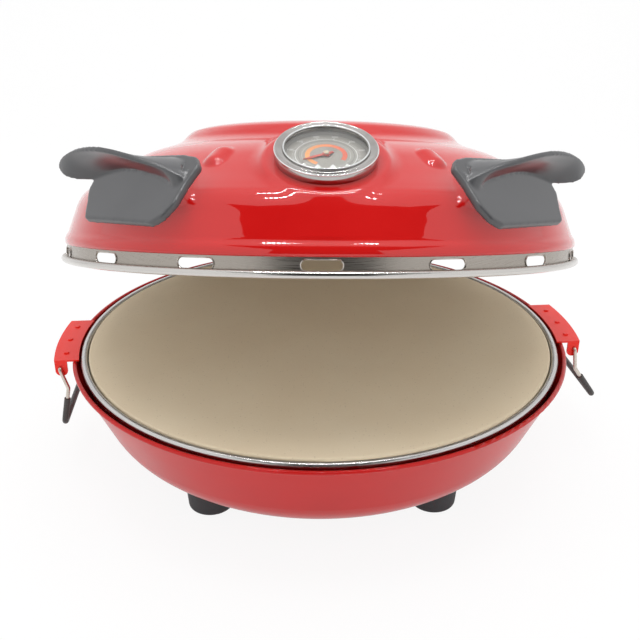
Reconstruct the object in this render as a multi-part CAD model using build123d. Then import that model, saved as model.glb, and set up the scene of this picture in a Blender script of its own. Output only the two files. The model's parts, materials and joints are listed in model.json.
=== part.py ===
from build123d import *
import math
import os

os.makedirs("parts", exist_ok=True)

# Round countertop pizza maker with a hinged, domed lid, shown a little open.
# Millimetres. Origin: centre of the baking stone's top face. +Z up, front -Y.

# ---------------------------------------------------------------- main sizes
# baking stone
stone_r = 155.0
stone_t = 12.0
stone_round = 1.5

# steel pan that carries the stone
pan_t = 0.7
stone_gap = 1.5            # stone to pan wall
pan_bead_r = 2.2           # section radius of the rolled edge
pan_bead_drop = 2.1        # centre of the roll below the stone's face
ledge_w = 29.0             # width of the step the stone lies on
pan_well = 22.0            # ledge down to the pan's floor
pan_corner = 4.0

# painted bowl
bowl_t = 0.8
bowl_drop = 61.0           # stone's face to the bowl's underside
bowl_flare = 23.4          # wall's lean from upright, degrees
bowl_corner = 38.0
rim_gap = 2.5              # pan roll to bowl roll
rim_roll_r = 1.35
rim_drop = 2.55            # centre of the bowl's roll below the stone's face

# feet
foot_h = 16.0
foot_r = 16.0
foot_toe_r = 14.2
foot_circle = 113.0
foot_angle = 38.0          # from the front and back centre lines, degrees
foot_round = 2.5
foot_bore_r = 5.2          # pocket for the screw's head
foot_bore_h = 5.0
foot_screw_r = 2.0

# side brackets and their wire bails
bracket_turn = 3.8         # both brackets sit this far round, degrees
bracket_in = 161.0
bracket_w = 15.5           # reach of the bracket's plate
bracket_out = bracket_in + bracket_w
bracket_half = 30.5        # half of the length along the rim
bracket_t = 1.2
lug_half = 24.0            # the bowl's lug under each bracket
lug_reach = 9.0            # lug beyond the bowl's roll centre
rivet_circle = 169.0
rivet_pitch = 20.0
rivet_r = 1.2
rivet_head_r = 1.8
rivet_head_h = 0.8
tab_in = 166.0
tab_drop = 11.0
tab_round = 3.5
pivot_out = 170.6
pivot_drop = 5.5
wire_r = 1.25
bail_leg = 14.5            # pivot to bend
bail_drop = 27.0           # bend to bottom run
bail_lean = 15.5           # upper leg's inward lean when hanging, degrees
bail_bend = 27.5
bail_side = 0.45           # wire to tab
sleeve_r = 2.0
sleeve_start = 7.5         # bend to sleeve
right_swing = 23.5         # the right bail stands swung out, degrees

# lid, drawn closed and then opened about the hinge
lid_open = 16.95           # degrees
hinge_turn = -2.3          # the hinge sits this far round the back, degrees
hinge_y = 174.0
hinge_z = 4.0
lid_t = 0.8
lip_r = 2.05               # section radius of the steel lip's roll
lip_clear = 0.2            # closed lip over the brackets
skirt_t = 0.6
skirt_r = 162.5
skirt_h = 12.4             # lip centre to the skirt's hidden top edge
slot_l = 20.0
slot_w = 5.2
slot_n = 16
slot_rise = 4.45           # lip centre to slot centre
slot_turn = -0.9           # degrees
band_z = 10.8              # painted wall's lower edge over the stone's face
band_h = 5.2
band_r = 163.5
# outside of the closed dome: radius, height over the stone's face
dome = [(161.0, 19.4), (157.8, 28.8), (154.8, 36.6), (151.0, 42.2), (146.0, 45.8),
        (137.0, 51.6), (127.0, 58.2), (117.5, 64.1), (109.5, 67.8), (102.0, 70.3),
        (95.5, 72.4), (90.2, 75.1), (87.0, 78.4), (83.6, 81.1), (77.5, 82.8),
        (60.0, 85.0), (40.0, 86.9), (20.0, 88.3), (0.0, 88.8)]
dome_breaks = [0, 3, 6, 8, 10, 12, 14, 16, 18]   # the outline is drawn as a chain of curves between these
bump_circle = 123.0        # two pressed bumps beside the dial
bump_angle = 27.3
bump_z = 60.6
bump_r = 9.0
bump_rise = 2.4

# reflector inside the lid
liner_t = 0.6
liner_crown_r = 128.0
liner_crown_z = 46.0
liner_flange = 3.2
liner_round = 12.0

# tubular heating elements
tube_r = 3.25
low_loop_r = 108.0
low_loop_z = -24.0
top_loop_r = 95.0
top_loop_z = 36.0
loop_gap = 20.0            # open angle between the two ends
tail_bend = 10.0
clip_w = 10.0
clip_wall = 3.0

# dial thermometer on the dome's front slope
dial_y = -130.0
dial_z = 65.15
dial_tilt = 33.45          # forward tilt of the face, degrees
bezel_r = 26.8
bezel_h = 7.0
bezel_in = 21.4
bezel_slope = 1.2
glass_t = 0.9
case_gap = 0.15
face_drop = 4.1
face_t = 0.4
needle_l = 13.0
needle_tail = 4.0
needle_w = 1.6
needle_t = 0.4
needle_rest = 206.0        # degrees, counter-clockwise from the dial's right
hub_r = 1.5
stem_r = 2.5
stem_l = 44.0
stem_nut_af = 12.0
stem_nut_h = 3.2
boss_r = 32.0
boss_flare = 38.0
boss_deep = 16.0

# handles on the lid, left one drawn and mirrored
grip_turn = 41.0           # round from the front, degrees
grip_slope = 50.0          # slope of the plate, degrees
grip_at_r = 146.0
grip_at_z = 43.8
grip_stand = 9.0
plate_t = 4.0
plate = [(-19.5, -28.2), (36, -30.2), (41.6, -26), (44.8, -17.5), (44.4, -4), (45.6, 6.5), (39.5, 12.6),
         (29, 14.6), (-14.6, 15.4), (-35.0, 2), (-33, -8.5), (-26.5, -17.5)]
plate_round = 4.0
pad_gap = 0.2
pad = [(-20, -13), (28, -13), (36, -11), (40.6, -9), (39.8, -4.5), (33.5, 4), (28, 11.5), (-15, 13),
       (-31, 2), (-31, -8)]
pad_round = 2.5
pad_deep = 24.0
pad_flare = 8.0
# blade: station along the plate, root (v, w), free edge (v, w), where its top face meets the plate (v)
blade = [(42.0, -3.6, -2.0, -1.6, 0.4, 4.0), (31.0, -2.0, -2.0, -0.9, 8.8, 11.2),
         (15.0, 4.0, -2.0, -0.6, 16.8, 12.4), (0.0, 7.4, -2.0, 0.4, 21.0, 12.8),
         (-12.0, 8.2, -2.0, 1.6, 21.7, 12.8), (-24.0, 5.4, -2.0, 2.8, 20.8, 8.4),
         (-34.0, 1.0, -1.0, 3.8, 19.0, None), (-44.0, -3.6, 4.4, 4.3, 16.2, None),
         (-50.5, -2.4, 6.8, 3.9, 13.6, None), (-54.5, 0.4, 8.8, 2.6, 11.4, None)]
blade_root_t = 4.6
blade_edge_t = 2.6
grip_screw_r = 1.9
grip_screws = [(-8.0, -6.0), (24.0, -6.0)]

# hinge at the back
knuckle_r = 5.5
pin_r = 2.5
pin_head_r = 4.4
pin_head_t = 2.0
leaf_t = 2.0
ear_t = 3.0
lid_ear_in = 24.0
ear_gap = 0.6
leaf_half = 42.0
base_leaf_top = 8.0
base_leaf_low = 34.0
lid_leaf_low = 26.0
lid_leaf_top = 46.0
seat_gap = 0.12            # pressed seats of one painted sheet on another
run_gap = 0.05             # running fits

# pieces between the pan and the bowl
post_circle = 70.0
post_r = 5.0
post_neck_r = 3.2
post_screw_r = 2.0
post_count = 4
shield_r = 86.0
shield_t = 0.8
shield_drop = 13.0         # shield below the pan's floor
block_l = 32.0
block_w = 18.0
block_h = 15.0
gland_angle = 62.0         # round from +X towards the back, degrees
gland_drop = 30.5
gland_bore_r = 3.6
gland_body_r = 8.0
gland_flange_r = 11.0
gland_flange_t = 3.0
gland_in = 11.0

h = math.radians(hinge_turn)
hinge_at = (-hinge_y * math.sin(h), hinge_y * math.cos(h), hinge_z)
hinge_dir = (math.cos(h), math.sin(h), 0)

nodes = {}


# ---------------------------------------------------------------- helpers
def spin(edges):
    """Solid of revolution about Z from closed edges drawn as (radius, height)."""
    return revolve(Plane.XZ * make_face(edges), Axis.Z)


def poly(points):
    return Polyline(*points, close=True)


def tube(path, radius):
    """Round bar along a path."""
    wire = path.wire() if hasattr(path, "wire") else path
    return sweep(Plane(wire @ 0, z_dir=wire % 0) * Circle(radius), path=wire)


def ring(major, minor, z):
    return Pos(0, 0, z) * Torus(major, minor)


def polar(radius, angle, z=0.0):
    a = math.radians(angle)
    return (radius * math.cos(a), radius * math.sin(a), z)


def mirrored(shape):
    return mirror(shape, about=Plane.YZ)


def opened(shape):
    """Turns a lid piece from closed to its shown opening."""
    return shape.rotate(Axis(hinge_at, hinge_dir), -lid_open)


def one(shapes):
    return Compound(list(shapes))


def screw(shank_r, length, head_r, head_h):
    """Domed screw or rivet along -Z, the underside of its head at z = 0."""
    body = Pos(0, 0, -length / 2) * Cylinder(shank_r, length)
    head = Pos(0, 0, head_h / 2) * Cylinder(head_r, head_h)
    head = fillet(head.edges().group_by(Axis.Z)[-1], head_h * 0.7)
    return body + head


def hex_nut(across, height, bore_r):
    nut = extrude(RegularPolygon(across / 2, 6, major_radius=False), height)
    return nut - Pos(0, 0, height / 2) * Cylinder(bore_r, height * 2)


def heating_loop(radius, z, turn, reach):
    """Open ring with both tails bent along turn (+1 up, -1 down)."""
    a1, a2 = 90 + loop_gap / 2, 450 - loop_gap / 2
    s = tail_bend * math.sqrt(0.5)
    ends = []
    for angle, way in ((a1, -1), (a2, 1)):
        p = Vector(*polar(radius, angle, z))
        t = Vector(*polar(1, angle + 90 * way))
        up = Vector(0, 0, turn)
        mid = p + t * s + up * (tail_bend - s)
        end = p + t * tail_bend + up * tail_bend
        ends.append((p, mid, end, end + up * reach))
    (p1, m1, e1, f1), (p2, m2, e2, f2) = ends
    loop = ThreePointArc(p1, Vector(*polar(radius, 270, z)), p2)
    path = Wire([Line(f1, e1).edge(), ThreePointArc(e1, m1, p1).edge(), loop.edge(),
                 ThreePointArc(p2, m2, e2).edge(), Line(e2, f2).edge()])
    return tube(path, tube_r), [Vector(f1.X, f1.Y, z), Vector(f2.X, f2.Y, z)]


# ---------------------------------------------------------------- stone
stone = Pos(0, 0, -stone_t / 2) * Cylinder(stone_r, stone_t)
nodes["baking_stone"] = fillet(stone.edges().filter_by(GeomType.CIRCLE), stone_round)

# ---------------------------------------------------------------- steel pan
pan_in = stone_r + stone_gap
pan_out = pan_in + pan_t
ledge_z = -stone_t - seat_gap
well_in = pan_in - ledge_w
pan_floor = ledge_z - pan_well
bead_c = pan_out + pan_t
bead_out = bead_c + pan_bead_r


def pan_solid(grow, top):
    """Inside of the pan moved outwards by grow."""
    body = Pos(0, 0, (ledge_z - grow + top) / 2) * Cylinder(pan_in + grow, top - ledge_z + grow)
    well_h = pan_well + 1.0
    well = Pos(0, 0, pan_floor - grow + well_h / 2) * Cylinder(well_in + grow, well_h)
    well = fillet(well.edges().group_by(Axis.Z)[0], pan_corner + grow)
    return body + well


pan = pan_solid(pan_t, -pan_bead_drop) - pan_solid(0, 5.0) + ring(bead_c, pan_bead_r, -pan_bead_drop)
pan -= Pos(0, 0, ledge_z + 4.0) * Cylinder(pan_in - 0.45, 8.0)

lower_loop, lower_tails = heating_loop(low_loop_r, low_loop_z, -1, 12.0)
for tail in lower_tails:
    pan -= Pos(tail.X, tail.Y, pan_floor) * Cylinder(tube_r + 0.6, 8 * pan_t)

post_spots = [polar(post_circle, 45 + i * 360 / post_count) for i in range(post_count)]
for x, y, _ in post_spots:
    pan -= Pos(x, y, pan_floor) * Cylinder(post_screw_r + 0.15, 8 * pan_t)
nodes["steel_pan"] = pan

# ---------------------------------------------------------------- heating element under the stone
nodes["lower_heater"] = lower_loop


def clip(radius, angle, z_seat, z_loop):
    """Saddle that holds the heating tube, standing on z_seat."""
    far = z_loop + math.copysign(tube_r + clip_wall, z_loop - z_seat)
    size = abs(far - z_seat)
    block = Pos(radius, 0, (far + z_seat) / 2) * Box(2 * (tube_r + clip_wall), clip_w, size)
    block -= ring(radius, tube_r + run_gap, z_loop)
    return block.rotate(Axis.Z, angle)


pan_top = pan_floor + seat_gap
nodes["lower_clips"] = one(clip(low_loop_r, a, pan_top, low_loop_z) for a in (-90, 25, 155))

# ---------------------------------------------------------------- painted bowl
rim_c = bead_out + rim_gap + rim_roll_r


def bowl_solid(grow):
    """Filled bowl, its wall moved outwards by grow."""
    s = math.radians(bowl_flare)
    zb, zt = -bowl_drop - grow, -rim_drop
    rt = rim_c + grow / math.cos(s)
    rb = rt - (zt - zb) * math.tan(s)
    rc = bowl_corner + grow
    run = rc * math.tan(math.radians(90 - bowl_flare) / 2)
    a = (rb - run, zb)
    b = (rb + run * math.sin(s), zb + run * math.cos(s))
    half = math.radians(-90 - bowl_flare) / 2
    mid = (rb - run + rc * math.cos(half), zb + rc + rc * math.sin(half))
    return spin([Line((0, zb), a), ThreePointArc(a, mid, b), Line(b, (rt, zt)),
                 Line((rt, zt), (0, zt)), Line((0, zt), (0, zb))])


bowl_outer = bowl_solid(0)
bowl = bowl_outer - bowl_solid(-bowl_t) + ring(rim_c, rim_roll_r, -rim_drop)

rim_top = -rim_drop + rim_roll_r
lug_t = bracket_t
inside_bowl = Pos(0, 0, -bowl_drop / 2) * Cylinder(rim_c - rim_roll_r + 0.4, bowl_drop)
lug_out = rim_c + lug_reach
for side in (0, 180):
    lug = Pos(0, 0, rim_top - lug_t / 2) * Cylinder(lug_out, lug_t)
    lug &= Pos(lug_out, 0, 0) * Box(2 * (lug_out - rim_c) + 12, 2 * lug_half, 40)
    lug -= inside_bowl
    for i in (-1, 0, 1):
        spot = polar(rivet_circle, math.degrees(i * rivet_pitch / rivet_circle))
        lug -= Pos(spot[0], spot[1], 0) * Cylinder(rivet_r + run_gap, 20)
    if side:
        lug = mirrored(lug)
    bowl += lug.rotate(Axis.Z, bracket_turn)

foot_spots = []
for sx, sy in ((-1, -1), (1, -1), (-1, 1), (1, 1)):
    a = math.radians(foot_angle)
    foot_spots.append((sx * foot_circle * math.sin(a), sy * foot_circle * math.cos(a)))
for x, y in foot_spots:
    bowl -= Pos(x, y, -bowl_drop) * Cylinder(foot_screw_r + 0.2, 8 * bowl_t)
for x, y, _ in post_spots:
    bowl -= Pos(x, y, -bowl_drop) * Cylinder(post_screw_r + 0.2, 8 * bowl_t)

# ---------------------------------------------------------------- cord gland in the back wall
s = math.radians(bowl_flare)
gland_r = rim_c - (gland_drop - rim_drop) * math.tan(s)
gland_plane = Plane(origin=polar(gland_r, gland_angle, -gland_drop),
                    z_dir=Vector(*polar(math.cos(s), gland_angle, -math.sin(s))))
bowl -= gland_plane * Cylinder(gland_body_r + run_gap, 10)
nodes["bowl"] = bowl

flange_gap = 1.1           # the flat flange over the round wall
body_l = gland_in + flange_gap
gland = Pos(0, 0, flange_gap - body_l / 2) * Cylinder(gland_body_r, body_l)
flange = Pos(0, 0, flange_gap + gland_flange_t / 2) * Cylinder(gland_flange_r, gland_flange_t)
flange = fillet(flange.edges().group_by(Axis.Z)[-1], gland_flange_t * 0.4)
gland = gland + flange
gland -= Cylinder(gland_bore_r, 60)
nodes["cord_gland"] = gland_plane * gland
nut_z = -bowl_t - flange_gap - 4.0
nut = Pos(0, 0, nut_z) * hex_nut(2 * gland_flange_r, 4.0, gland_body_r + run_gap)
nodes["gland_nut"] = gland_plane * nut

# ---------------------------------------------------------------- feet
floor_z = -bowl_drop - foot_h
foot_keep_out = bowl_solid(seat_gap)
for name, (x, y) in zip(("foot_front_left", "foot_front_right", "foot_back_left", "foot_back_right"),
                        foot_spots):
    h = foot_h + 9.0
    foot = Pos(0, 0, h / 2) * Cone(foot_toe_r, foot_r, h)
    foot = fillet(foot.edges().group_by(Axis.Z)[0], foot_round)
    foot -= Pos(0, 0, foot_bore_h / 2) * Cylinder(foot_bore_r, foot_bore_h)
    foot -= Cylinder(foot_screw_r + run_gap, 4 * h)
    nodes[name] = Pos(x, y, floor_z) * foot - foot_keep_out

foot_screws, foot_nuts = [], []
inner_floor = -bowl_drop + bowl_t
for x, y in foot_spots:
    head_at = floor_z + foot_bore_h - seat_gap
    fix = screw(foot_screw_r, inner_floor + 5.0 - head_at, 4.2, 2.6).rotate(Axis.X, 180)
    foot_screws.append(Pos(x, y, head_at) * fix)
    nut = Pos(x, y, inner_floor - 0.5) * hex_nut(7.0, 5.5, foot_screw_r + run_gap)
    foot_nuts.append(nut & bowl_solid(-bowl_t - seat_gap))
nodes["foot_screws"] = one(foot_screws)
nodes["foot_nuts"] = one(foot_nuts)

# ---------------------------------------------------------------- posts, heat shield, pan screws
under_pan = pan_floor - pan_t
shield_z = under_pan - shield_drop
posts, pan_screws, pan_nuts = [], [], []
shield = Pos(0, 0, shield_z + shield_t / 2) * Cylinder(shield_r, shield_t)
for x, y, _ in post_spots:
    low = inner_floor + seat_gap
    wide_h = shield_z - seat_gap - low
    neck_h = under_pan - seat_gap - low
    post = Pos(0, 0, wide_h / 2) * Cylinder(post_r, wide_h)
    post += Pos(0, 0, neck_h / 2) * Cylinder(post_neck_r, neck_h)
    post -= Cylinder(post_screw_r + run_gap, 4 * neck_h)
    posts.append(Pos(x, y, low) * post)
    shield -= Pos(x, y, shield_z) * Cylinder(post_neck_r + run_gap, 8 * shield_t)
    head_at = -bowl_drop - seat_gap
    fix = screw(post_screw_r, pan_floor + 4.5 - head_at, 4.0, 2.2).rotate(Axis.X, 180)
    pan_screws.append(Pos(x, y, head_at) * fix)
    pan_nuts.append(Pos(x, y, pan_floor + seat_gap) * hex_nut(7.0, 3.2, post_screw_r + run_gap))
nodes["pan_posts"] = one(posts)
nodes["pan_screws"] = one(pan_screws)
nodes["pan_nuts"] = one(pan_nuts)
nodes["heat_shield"] = shield

# ---------------------------------------------------------------- electrical pieces in the base
block_y = (lower_tails[0].Y + lower_tails[1].Y) / 2
block_z = inner_floor + seat_gap
block = Pos(0, block_y, block_z + block_h / 2) * Box(block_l, block_w, block_h)
for tail in lower_tails:
    block -= Pos(tail.X, tail.Y, block_z + block_h) * Cylinder(tube_r + run_gap, block_h)
block = fillet(block.edges().filter_by(Axis.Z), 1.5)
nodes["terminal_block"] = block & bowl_solid(-bowl_t - seat_gap)

thermostat = Pos(0, 0, -3.0) * Cylinder(8.0, 6.0) + Pos(0, 0, -8.0) * Box(12.0, 7.0, 4.0)
nodes["thermostat"] = Pos(40.0, 0, under_pan - seat_gap) * thermostat
fuse = Rot(0, 90, 0) * Cylinder(2.2, 13.0)
fuse += Box(3.0, 7.0, 2 * 2.2)
nodes["thermal_fuse"] = Pos(-40.0, 0, under_pan - seat_gap - 2.2) * fuse

gland_end = gland_plane.origin - gland_plane.z_dir * gland_in
leads = []
for i in (0, 1):
    z0 = block_z + 4.0 + 5.0 * i
    start = Vector(block_l / 2 + 0.2, block_y, z0)
    corner = Vector(*polar(124.0 + 2.0 * i, gland_angle + 2.0, z0))
    inward = gland_plane.z_dir * -1
    side = Vector(*polar(1.7 * (1 - 2 * i), gland_angle + 90))
    end = gland_end + side + inward * 0.6
    near = gland_end + side + inward * 5.0
    route = FilletPolyline(start, Vector(start.X + 10.0, start.Y, z0), corner, near, end, radius=3.0)
    leads.append(tube(route, 1.3))
nodes["inner_leads"] = one(leads)

# ---------------------------------------------------------------- side brackets and bails
bracket_top = rim_top + 0.15 + bracket_t
bracket = Pos(0, 0, bracket_top - bracket_t / 2) * (
    Cylinder(bracket_out, bracket_t) - Cylinder(bracket_in, 2 * bracket_t))
bracket &= Pos(bracket_out, 0, 0) * Box(60.0, 2 * bracket_half, 40)
pivot_z = -pivot_drop
for way in (-1, 1):
    tall = bracket_top + tab_drop
    tab_out = math.sqrt(bracket_out ** 2 - bracket_half ** 2)
    tab = Pos((tab_in + tab_out) / 2, way * (bracket_half - bracket_t / 2), bracket_top - tall / 2) * Box(
        tab_out - tab_in, bracket_t, tall)
    low = tab.edges().filter_by(Axis.Y).group_by(Axis.Z)[0]
    tab = fillet(low, tab_round)
    tab -= Pos(pivot_out, way * bracket_half, pivot_z) * Rot(90, 0, 0) * Cylinder(wire_r + run_gap, 12)
    bracket += tab
rivets = []
for i in (-1, 0, 1):
    spot = polar(rivet_circle, math.degrees(i * rivet_pitch / rivet_circle))
    bracket -= Pos(spot[0], spot[1], bracket_top) * Cylinder(rivet_r + run_gap, 6 * bracket_t)
    reach = bracket_top - (rim_top - lug_t) + seat_gap
    top = screw(rivet_r, reach, rivet_head_r, rivet_head_h)
    foot_head = Pos(0, 0, -reach - rivet_head_h / 2) * Cylinder(rivet_head_r, rivet_head_h)
    rivets.append(Pos(spot[0], spot[1], bracket_top + 0.03) * (top + foot_head))

leg_y = bracket_half + bail_side + wire_r
lean1 = math.radians(-bail_lean)
lean2 = math.radians(bail_bend - bail_lean)
knee = (pivot_out + bail_leg * math.sin(lean1), pivot_z - bail_leg * math.cos(lean1))
low_pt = (knee[0] + bail_drop * math.sin(lean2), knee[1] - bail_drop * math.cos(lean2))
k = sleeve_start / bail_drop
cuff = (knee[0] + (low_pt[0] - knee[0]) * k, knee[1] + (low_pt[1] - knee[1]) * k)
inner_y = bracket_half - bracket_t - 0.5
wire_path = FilletPolyline(
    (pivot_out, -inner_y, pivot_z), (pivot_out, -leg_y, pivot_z), (knee[0], -leg_y, knee[1]),
    (low_pt[0], -leg_y, low_pt[1]), (low_pt[0], leg_y, low_pt[1]), (knee[0], leg_y, knee[1]),
    (pivot_out, leg_y, pivot_z), (pivot_out, inner_y, pivot_z), radius=[1.6, 5.0, 4.5, 4.5, 5.0, 1.6])
bail_wire = tube(wire_path, wire_r)
cuff_path = FilletPolyline((cuff[0], -leg_y, cuff[1]), (low_pt[0], -leg_y, low_pt[1]),
                           (low_pt[0], leg_y, low_pt[1]), (cuff[0], leg_y, cuff[1]), radius=[4.5, 4.5])
bail_sleeve = tube(cuff_path, sleeve_r) - tube(cuff_path, wire_r + run_gap)
swing_axis = Axis((pivot_out, 0, pivot_z), (0, -1, 0))

for side in ("left", "right"):
    swing = right_swing if side == "right" else 0.0
    pieces = {"bracket": bracket, "bracket_rivets": one(rivets),
              "bail_wire": bail_wire.rotate(swing_axis, swing),
              "bail_sleeve": bail_sleeve.rotate(swing_axis, swing)}
    for name, piece in pieces.items():
        if side == "left":
            piece = mirrored(piece)
        nodes[side + "_" + name] = piece.rotate(Axis.Z, bracket_turn)

# ---------------------------------------------------------------- lid: painted dome
lip_c = skirt_r - skirt_t + lip_r
lip_z = bracket_top + lip_clear + lip_r


def dome_points(grow):
    """Dome outline moved outwards by grow, as (radius, height over the stone)."""
    pts = dome
    out = []
    for i, (r, z) in enumerate(pts):
        if i == len(pts) - 1:
            out.append((0.0, z + grow))
            continue
        ra, za = pts[max(i - 1, 0)]
        rb, zb = pts[i + 1]
        n = math.hypot(rb - ra, zb - za)
        out.append((r + (zb - za) / n * grow, z + (ra - rb) / n * grow))
    return out


def dome_solid(grow, low):
    """Filled dome from height low up."""
    pts = dome_points(grow)
    edge = band_r + grow
    top = band_z + band_h + grow * 0.4
    slopes = [(-0.35, 1.0)]
    for (ra, za), (rb, zb) in zip(pts[:-2], pts[2:]):
        slopes.append((rb - ra, zb - za))
    slopes.append((-1.0, 0.0))
    crown = [Spline(*pts[i:j + 1], tangents=[slopes[i], slopes[j]])
             for i, j in zip(dome_breaks[:-1], dome_breaks[1:])]
    return spin([Line((0, low), (edge, low)), Line((edge, low), (edge, top)), Line((edge, top), pts[0]),
                 *crown, Line(pts[-1], (0, low))])


dome_outer = dome_solid(0, band_z)
dome_inner = dome_solid(-lid_t, band_z - 10)

dial_plane = Plane(origin=(0, dial_y, dial_z), x_dir=(1, 0, 0),
                   z_dir=(0, -math.sin(math.radians(dial_tilt)), math.cos(math.radians(dial_tilt))))


def boss(grow):
    """Round seat of the thermometer, its top moved by grow."""
    wide = boss_r + boss_deep / math.tan(math.radians(boss_flare))
    return dial_plane * Pos(0, 0, -bezel_h + grow - boss_deep / 2) * Cone(
        wide + grow * 0.4, boss_r + grow * 0.4, boss_deep)


a = math.radians(grip_turn)
out_dir = Vector(-math.sin(a), -math.cos(a), 0)
b = math.radians(grip_slope)
grip_normal = out_dir * math.sin(b) + Vector(0, 0, math.cos(b))
grip_origin = out_dir * grip_at_r + Vector(0, 0, grip_at_z) + grip_normal * grip_stand
grip_plane = Plane(origin=grip_origin, x_dir=Vector(math.cos(a), -math.sin(a), 0), z_dir=grip_normal)

plate_face = make_face(poly(plate))
plate_face = fillet(plate_face.vertices(), plate_round)


def grip_pad(grow):
    """Pressed seat of the left handle, moved outwards by grow."""
    top = -plate_t - pad_gap + grow
    face = fillet(make_face(poly(pad)).vertices(), pad_round)
    if grow:
        face = offset(face, grow)
    solid = extrude(face, -pad_deep - grow, taper=-pad_flare)
    return grip_plane * Pos(0, 0, top) * solid


def bump(grow):
    spot = polar(bump_circle, bump_angle - 90, bump_z)
    way = Vector(*polar(math.sin(math.radians(32)), bump_angle - 90, math.cos(math.radians(32))))
    return Pos(*(Vector(*spot) - way * (bump_r - bump_rise))) * Sphere(bump_r + grow)


pressed = [[grip_pad(g), bump(g)] for g in (0, -lid_t)]
shell_out = dome_outer + boss(0)
shell_in = dome_inner + boss(-lid_t)
for piece in pressed[0]:
    piece = piece if piece is pressed[0][0] else mirrored(piece)
    shell_out = shell_out + piece + mirrored(piece)
for piece in pressed[1]:
    piece = piece if piece is pressed[1][0] else mirrored(piece)
    shell_in = shell_in + piece + mirrored(piece)
shell = shell_out - shell_in
shell -= dial_plane * Pos(0, 0, -bezel_h) * Cylinder(stem_r + run_gap, 12)
for u, v in grip_screws:
    hole = grip_plane * Pos(u, v, -plate_t) * Cylinder(grip_screw_r + 0.2, 6 * lid_t)
    shell = shell - hole - mirrored(hole)

# ---------------------------------------------------------------- lid: steel skirt with slots
wall_in = skirt_r - skirt_t
meet = lip_z + math.sqrt(lip_r ** 2 - (lip_c - skirt_r) ** 2)      # the roll meets the wall's outside
skirt = spin([Line((wall_in, lip_z + skirt_h), (wall_in, lip_z)),
              ThreePointArc((wall_in, lip_z), (lip_c, lip_z - lip_r), (lip_c + lip_r, lip_z)),
              ThreePointArc((lip_c + lip_r, lip_z), (lip_c + lip_r * 0.6, lip_z + lip_r * 0.8), (skirt_r, meet)),
              Line((skirt_r, meet), (skirt_r, lip_z + skirt_h)),
              Line((skirt_r, lip_z + skirt_h), (wall_in, lip_z + skirt_h))])
slot = Plane.YZ * extrude(SlotOverall(slot_l, slot_w), 40.0)
for i in range(slot_n):
    skirt -= (Pos(skirt_r - 20, 0, lip_z + slot_rise) * slot).rotate(Axis.Z, -90 + slot_turn + i * 360 / slot_n)

# ---------------------------------------------------------------- lid: reflector and upper element
flange_r = skirt_r - skirt_t - 0.2
flange_z = band_z - 0.6


def liner_solid(grow):
    low, high = flange_z, flange_z + liner_flange
    top = liner_crown_z + grow
    pts = [(0, low), (flange_r + grow, low), (flange_r + grow, high), (liner_crown_r + grow, top), (0, top)]
    solid = spin(poly(pts))
    crown_edge = solid.edges().filter_by(GeomType.CIRCLE).group_by(Axis.Z)[-1]
    return fillet(crown_edge, liner_round)


liner = liner_solid(0) - Pos(0, 0, 0) * liner_solid(-liner_t)
liner -= Pos(0, 0, flange_z) * Cylinder(flange_r - liner_t, 0.4)
upper_loop, upper_tails = heating_loop(top_loop_r, top_loop_z, 1, 14.0)
for tail in upper_tails:
    liner -= Pos(tail.X, tail.Y, liner_crown_z) * Cylinder(tube_r + 0.6, 12)
stem_hole = dial_plane * Pos(0, 0, -bezel_h - 30) * Cylinder(stem_r + 0.4, 60)
liner -= stem_hole
liner_under = liner_crown_z - liner_t - seat_gap
upper_clips = one(clip(top_loop_r, a, liner_under, top_loop_z) for a in (-50, 50, 170))
upper_block_z = liner_crown_z + seat_gap
tail_y = (upper_tails[0].Y + upper_tails[1].Y) / 2
upper_block = Pos(0, tail_y, upper_block_z + block_h / 2) * Box(block_l, block_w, block_h)
for tail in upper_tails:
    upper_block -= Pos(tail.X, tail.Y, upper_block_z) * Cylinder(tube_r + run_gap, 2 * block_h + 2)
upper_block = fillet(upper_block.edges().filter_by(Axis.Z), 1.5)

# ---------------------------------------------------------------- lid: thermometer
case_r = bezel_r - 1.3
case_h = bezel_h - bezel_slope - 0.3
glass_z = -bezel_slope - 0.4 - glass_t
case = Pos(0, 0, -bezel_h + seat_gap + case_h / 2) * Cylinder(case_r - case_gap, case_h)
case_wall = 0.9
case_top = -bezel_h + seat_gap + case_h
case -= Pos(0, 0, glass_z + 5.0) * Cylinder(case_r, 10.0)
well_r = case_r - case_gap - case_wall
case -= Pos(0, 0, glass_z - face_drop / 2 + 0.3) * Cylinder(well_r, face_drop)
case -= Pos(0, 0, -bezel_h) * Cylinder(stem_r + run_gap, 6)
bezel = spin([Line((case_r, -bezel_h + seat_gap), (bezel_r - 0.5, -bezel_h + seat_gap)),
              ThreePointArc((bezel_r - 0.5, -bezel_h + seat_gap), (bezel_r, -bezel_h / 2), (bezel_r - 0.6, -0.5)),
              ThreePointArc((bezel_r - 0.6, -0.5), (bezel_r - 1.1, 0.0), (bezel_r - 1.8, -0.1)),
              Line((bezel_r - 1.8, -0.1), (bezel_in, -bezel_slope)),
              Line((bezel_in, -bezel_slope), (bezel_in, -bezel_slope - 0.35)),
              Line((bezel_in, -bezel_slope - 0.35), (case_r, -bezel_slope - 0.35)),
              Line((case_r, -bezel_slope - 0.35), (case_r, -bezel_h + seat_gap))])
glass = Pos(0, 0, glass_z + glass_t / 2) * Cylinder(case_r - case_gap - 0.1, glass_t)
face_z = glass_z - face_drop + 0.3 + face_drop / 2 + 0.1
well_floor = glass_z - face_drop + 0.3
face_z = well_floor + seat_gap
face = Pos(0, 0, face_z + face_t / 2) * (Cylinder(well_r - 0.2, face_t) - Cylinder(stem_r + 0.2, 4))
stem_top = face_z + face_t + 0.1
stem = Pos(0, 0, stem_top - (stem_top + bezel_h + stem_l) / 2) * Cylinder(
    stem_r, stem_top + bezel_h + stem_l)
stem = fillet(stem.edges().group_by(Axis.Z)[0], 1.6)
stem -= Pos(0, 0, stem_top) * Cylinder(0.6 + run_gap, 8.0)
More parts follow.
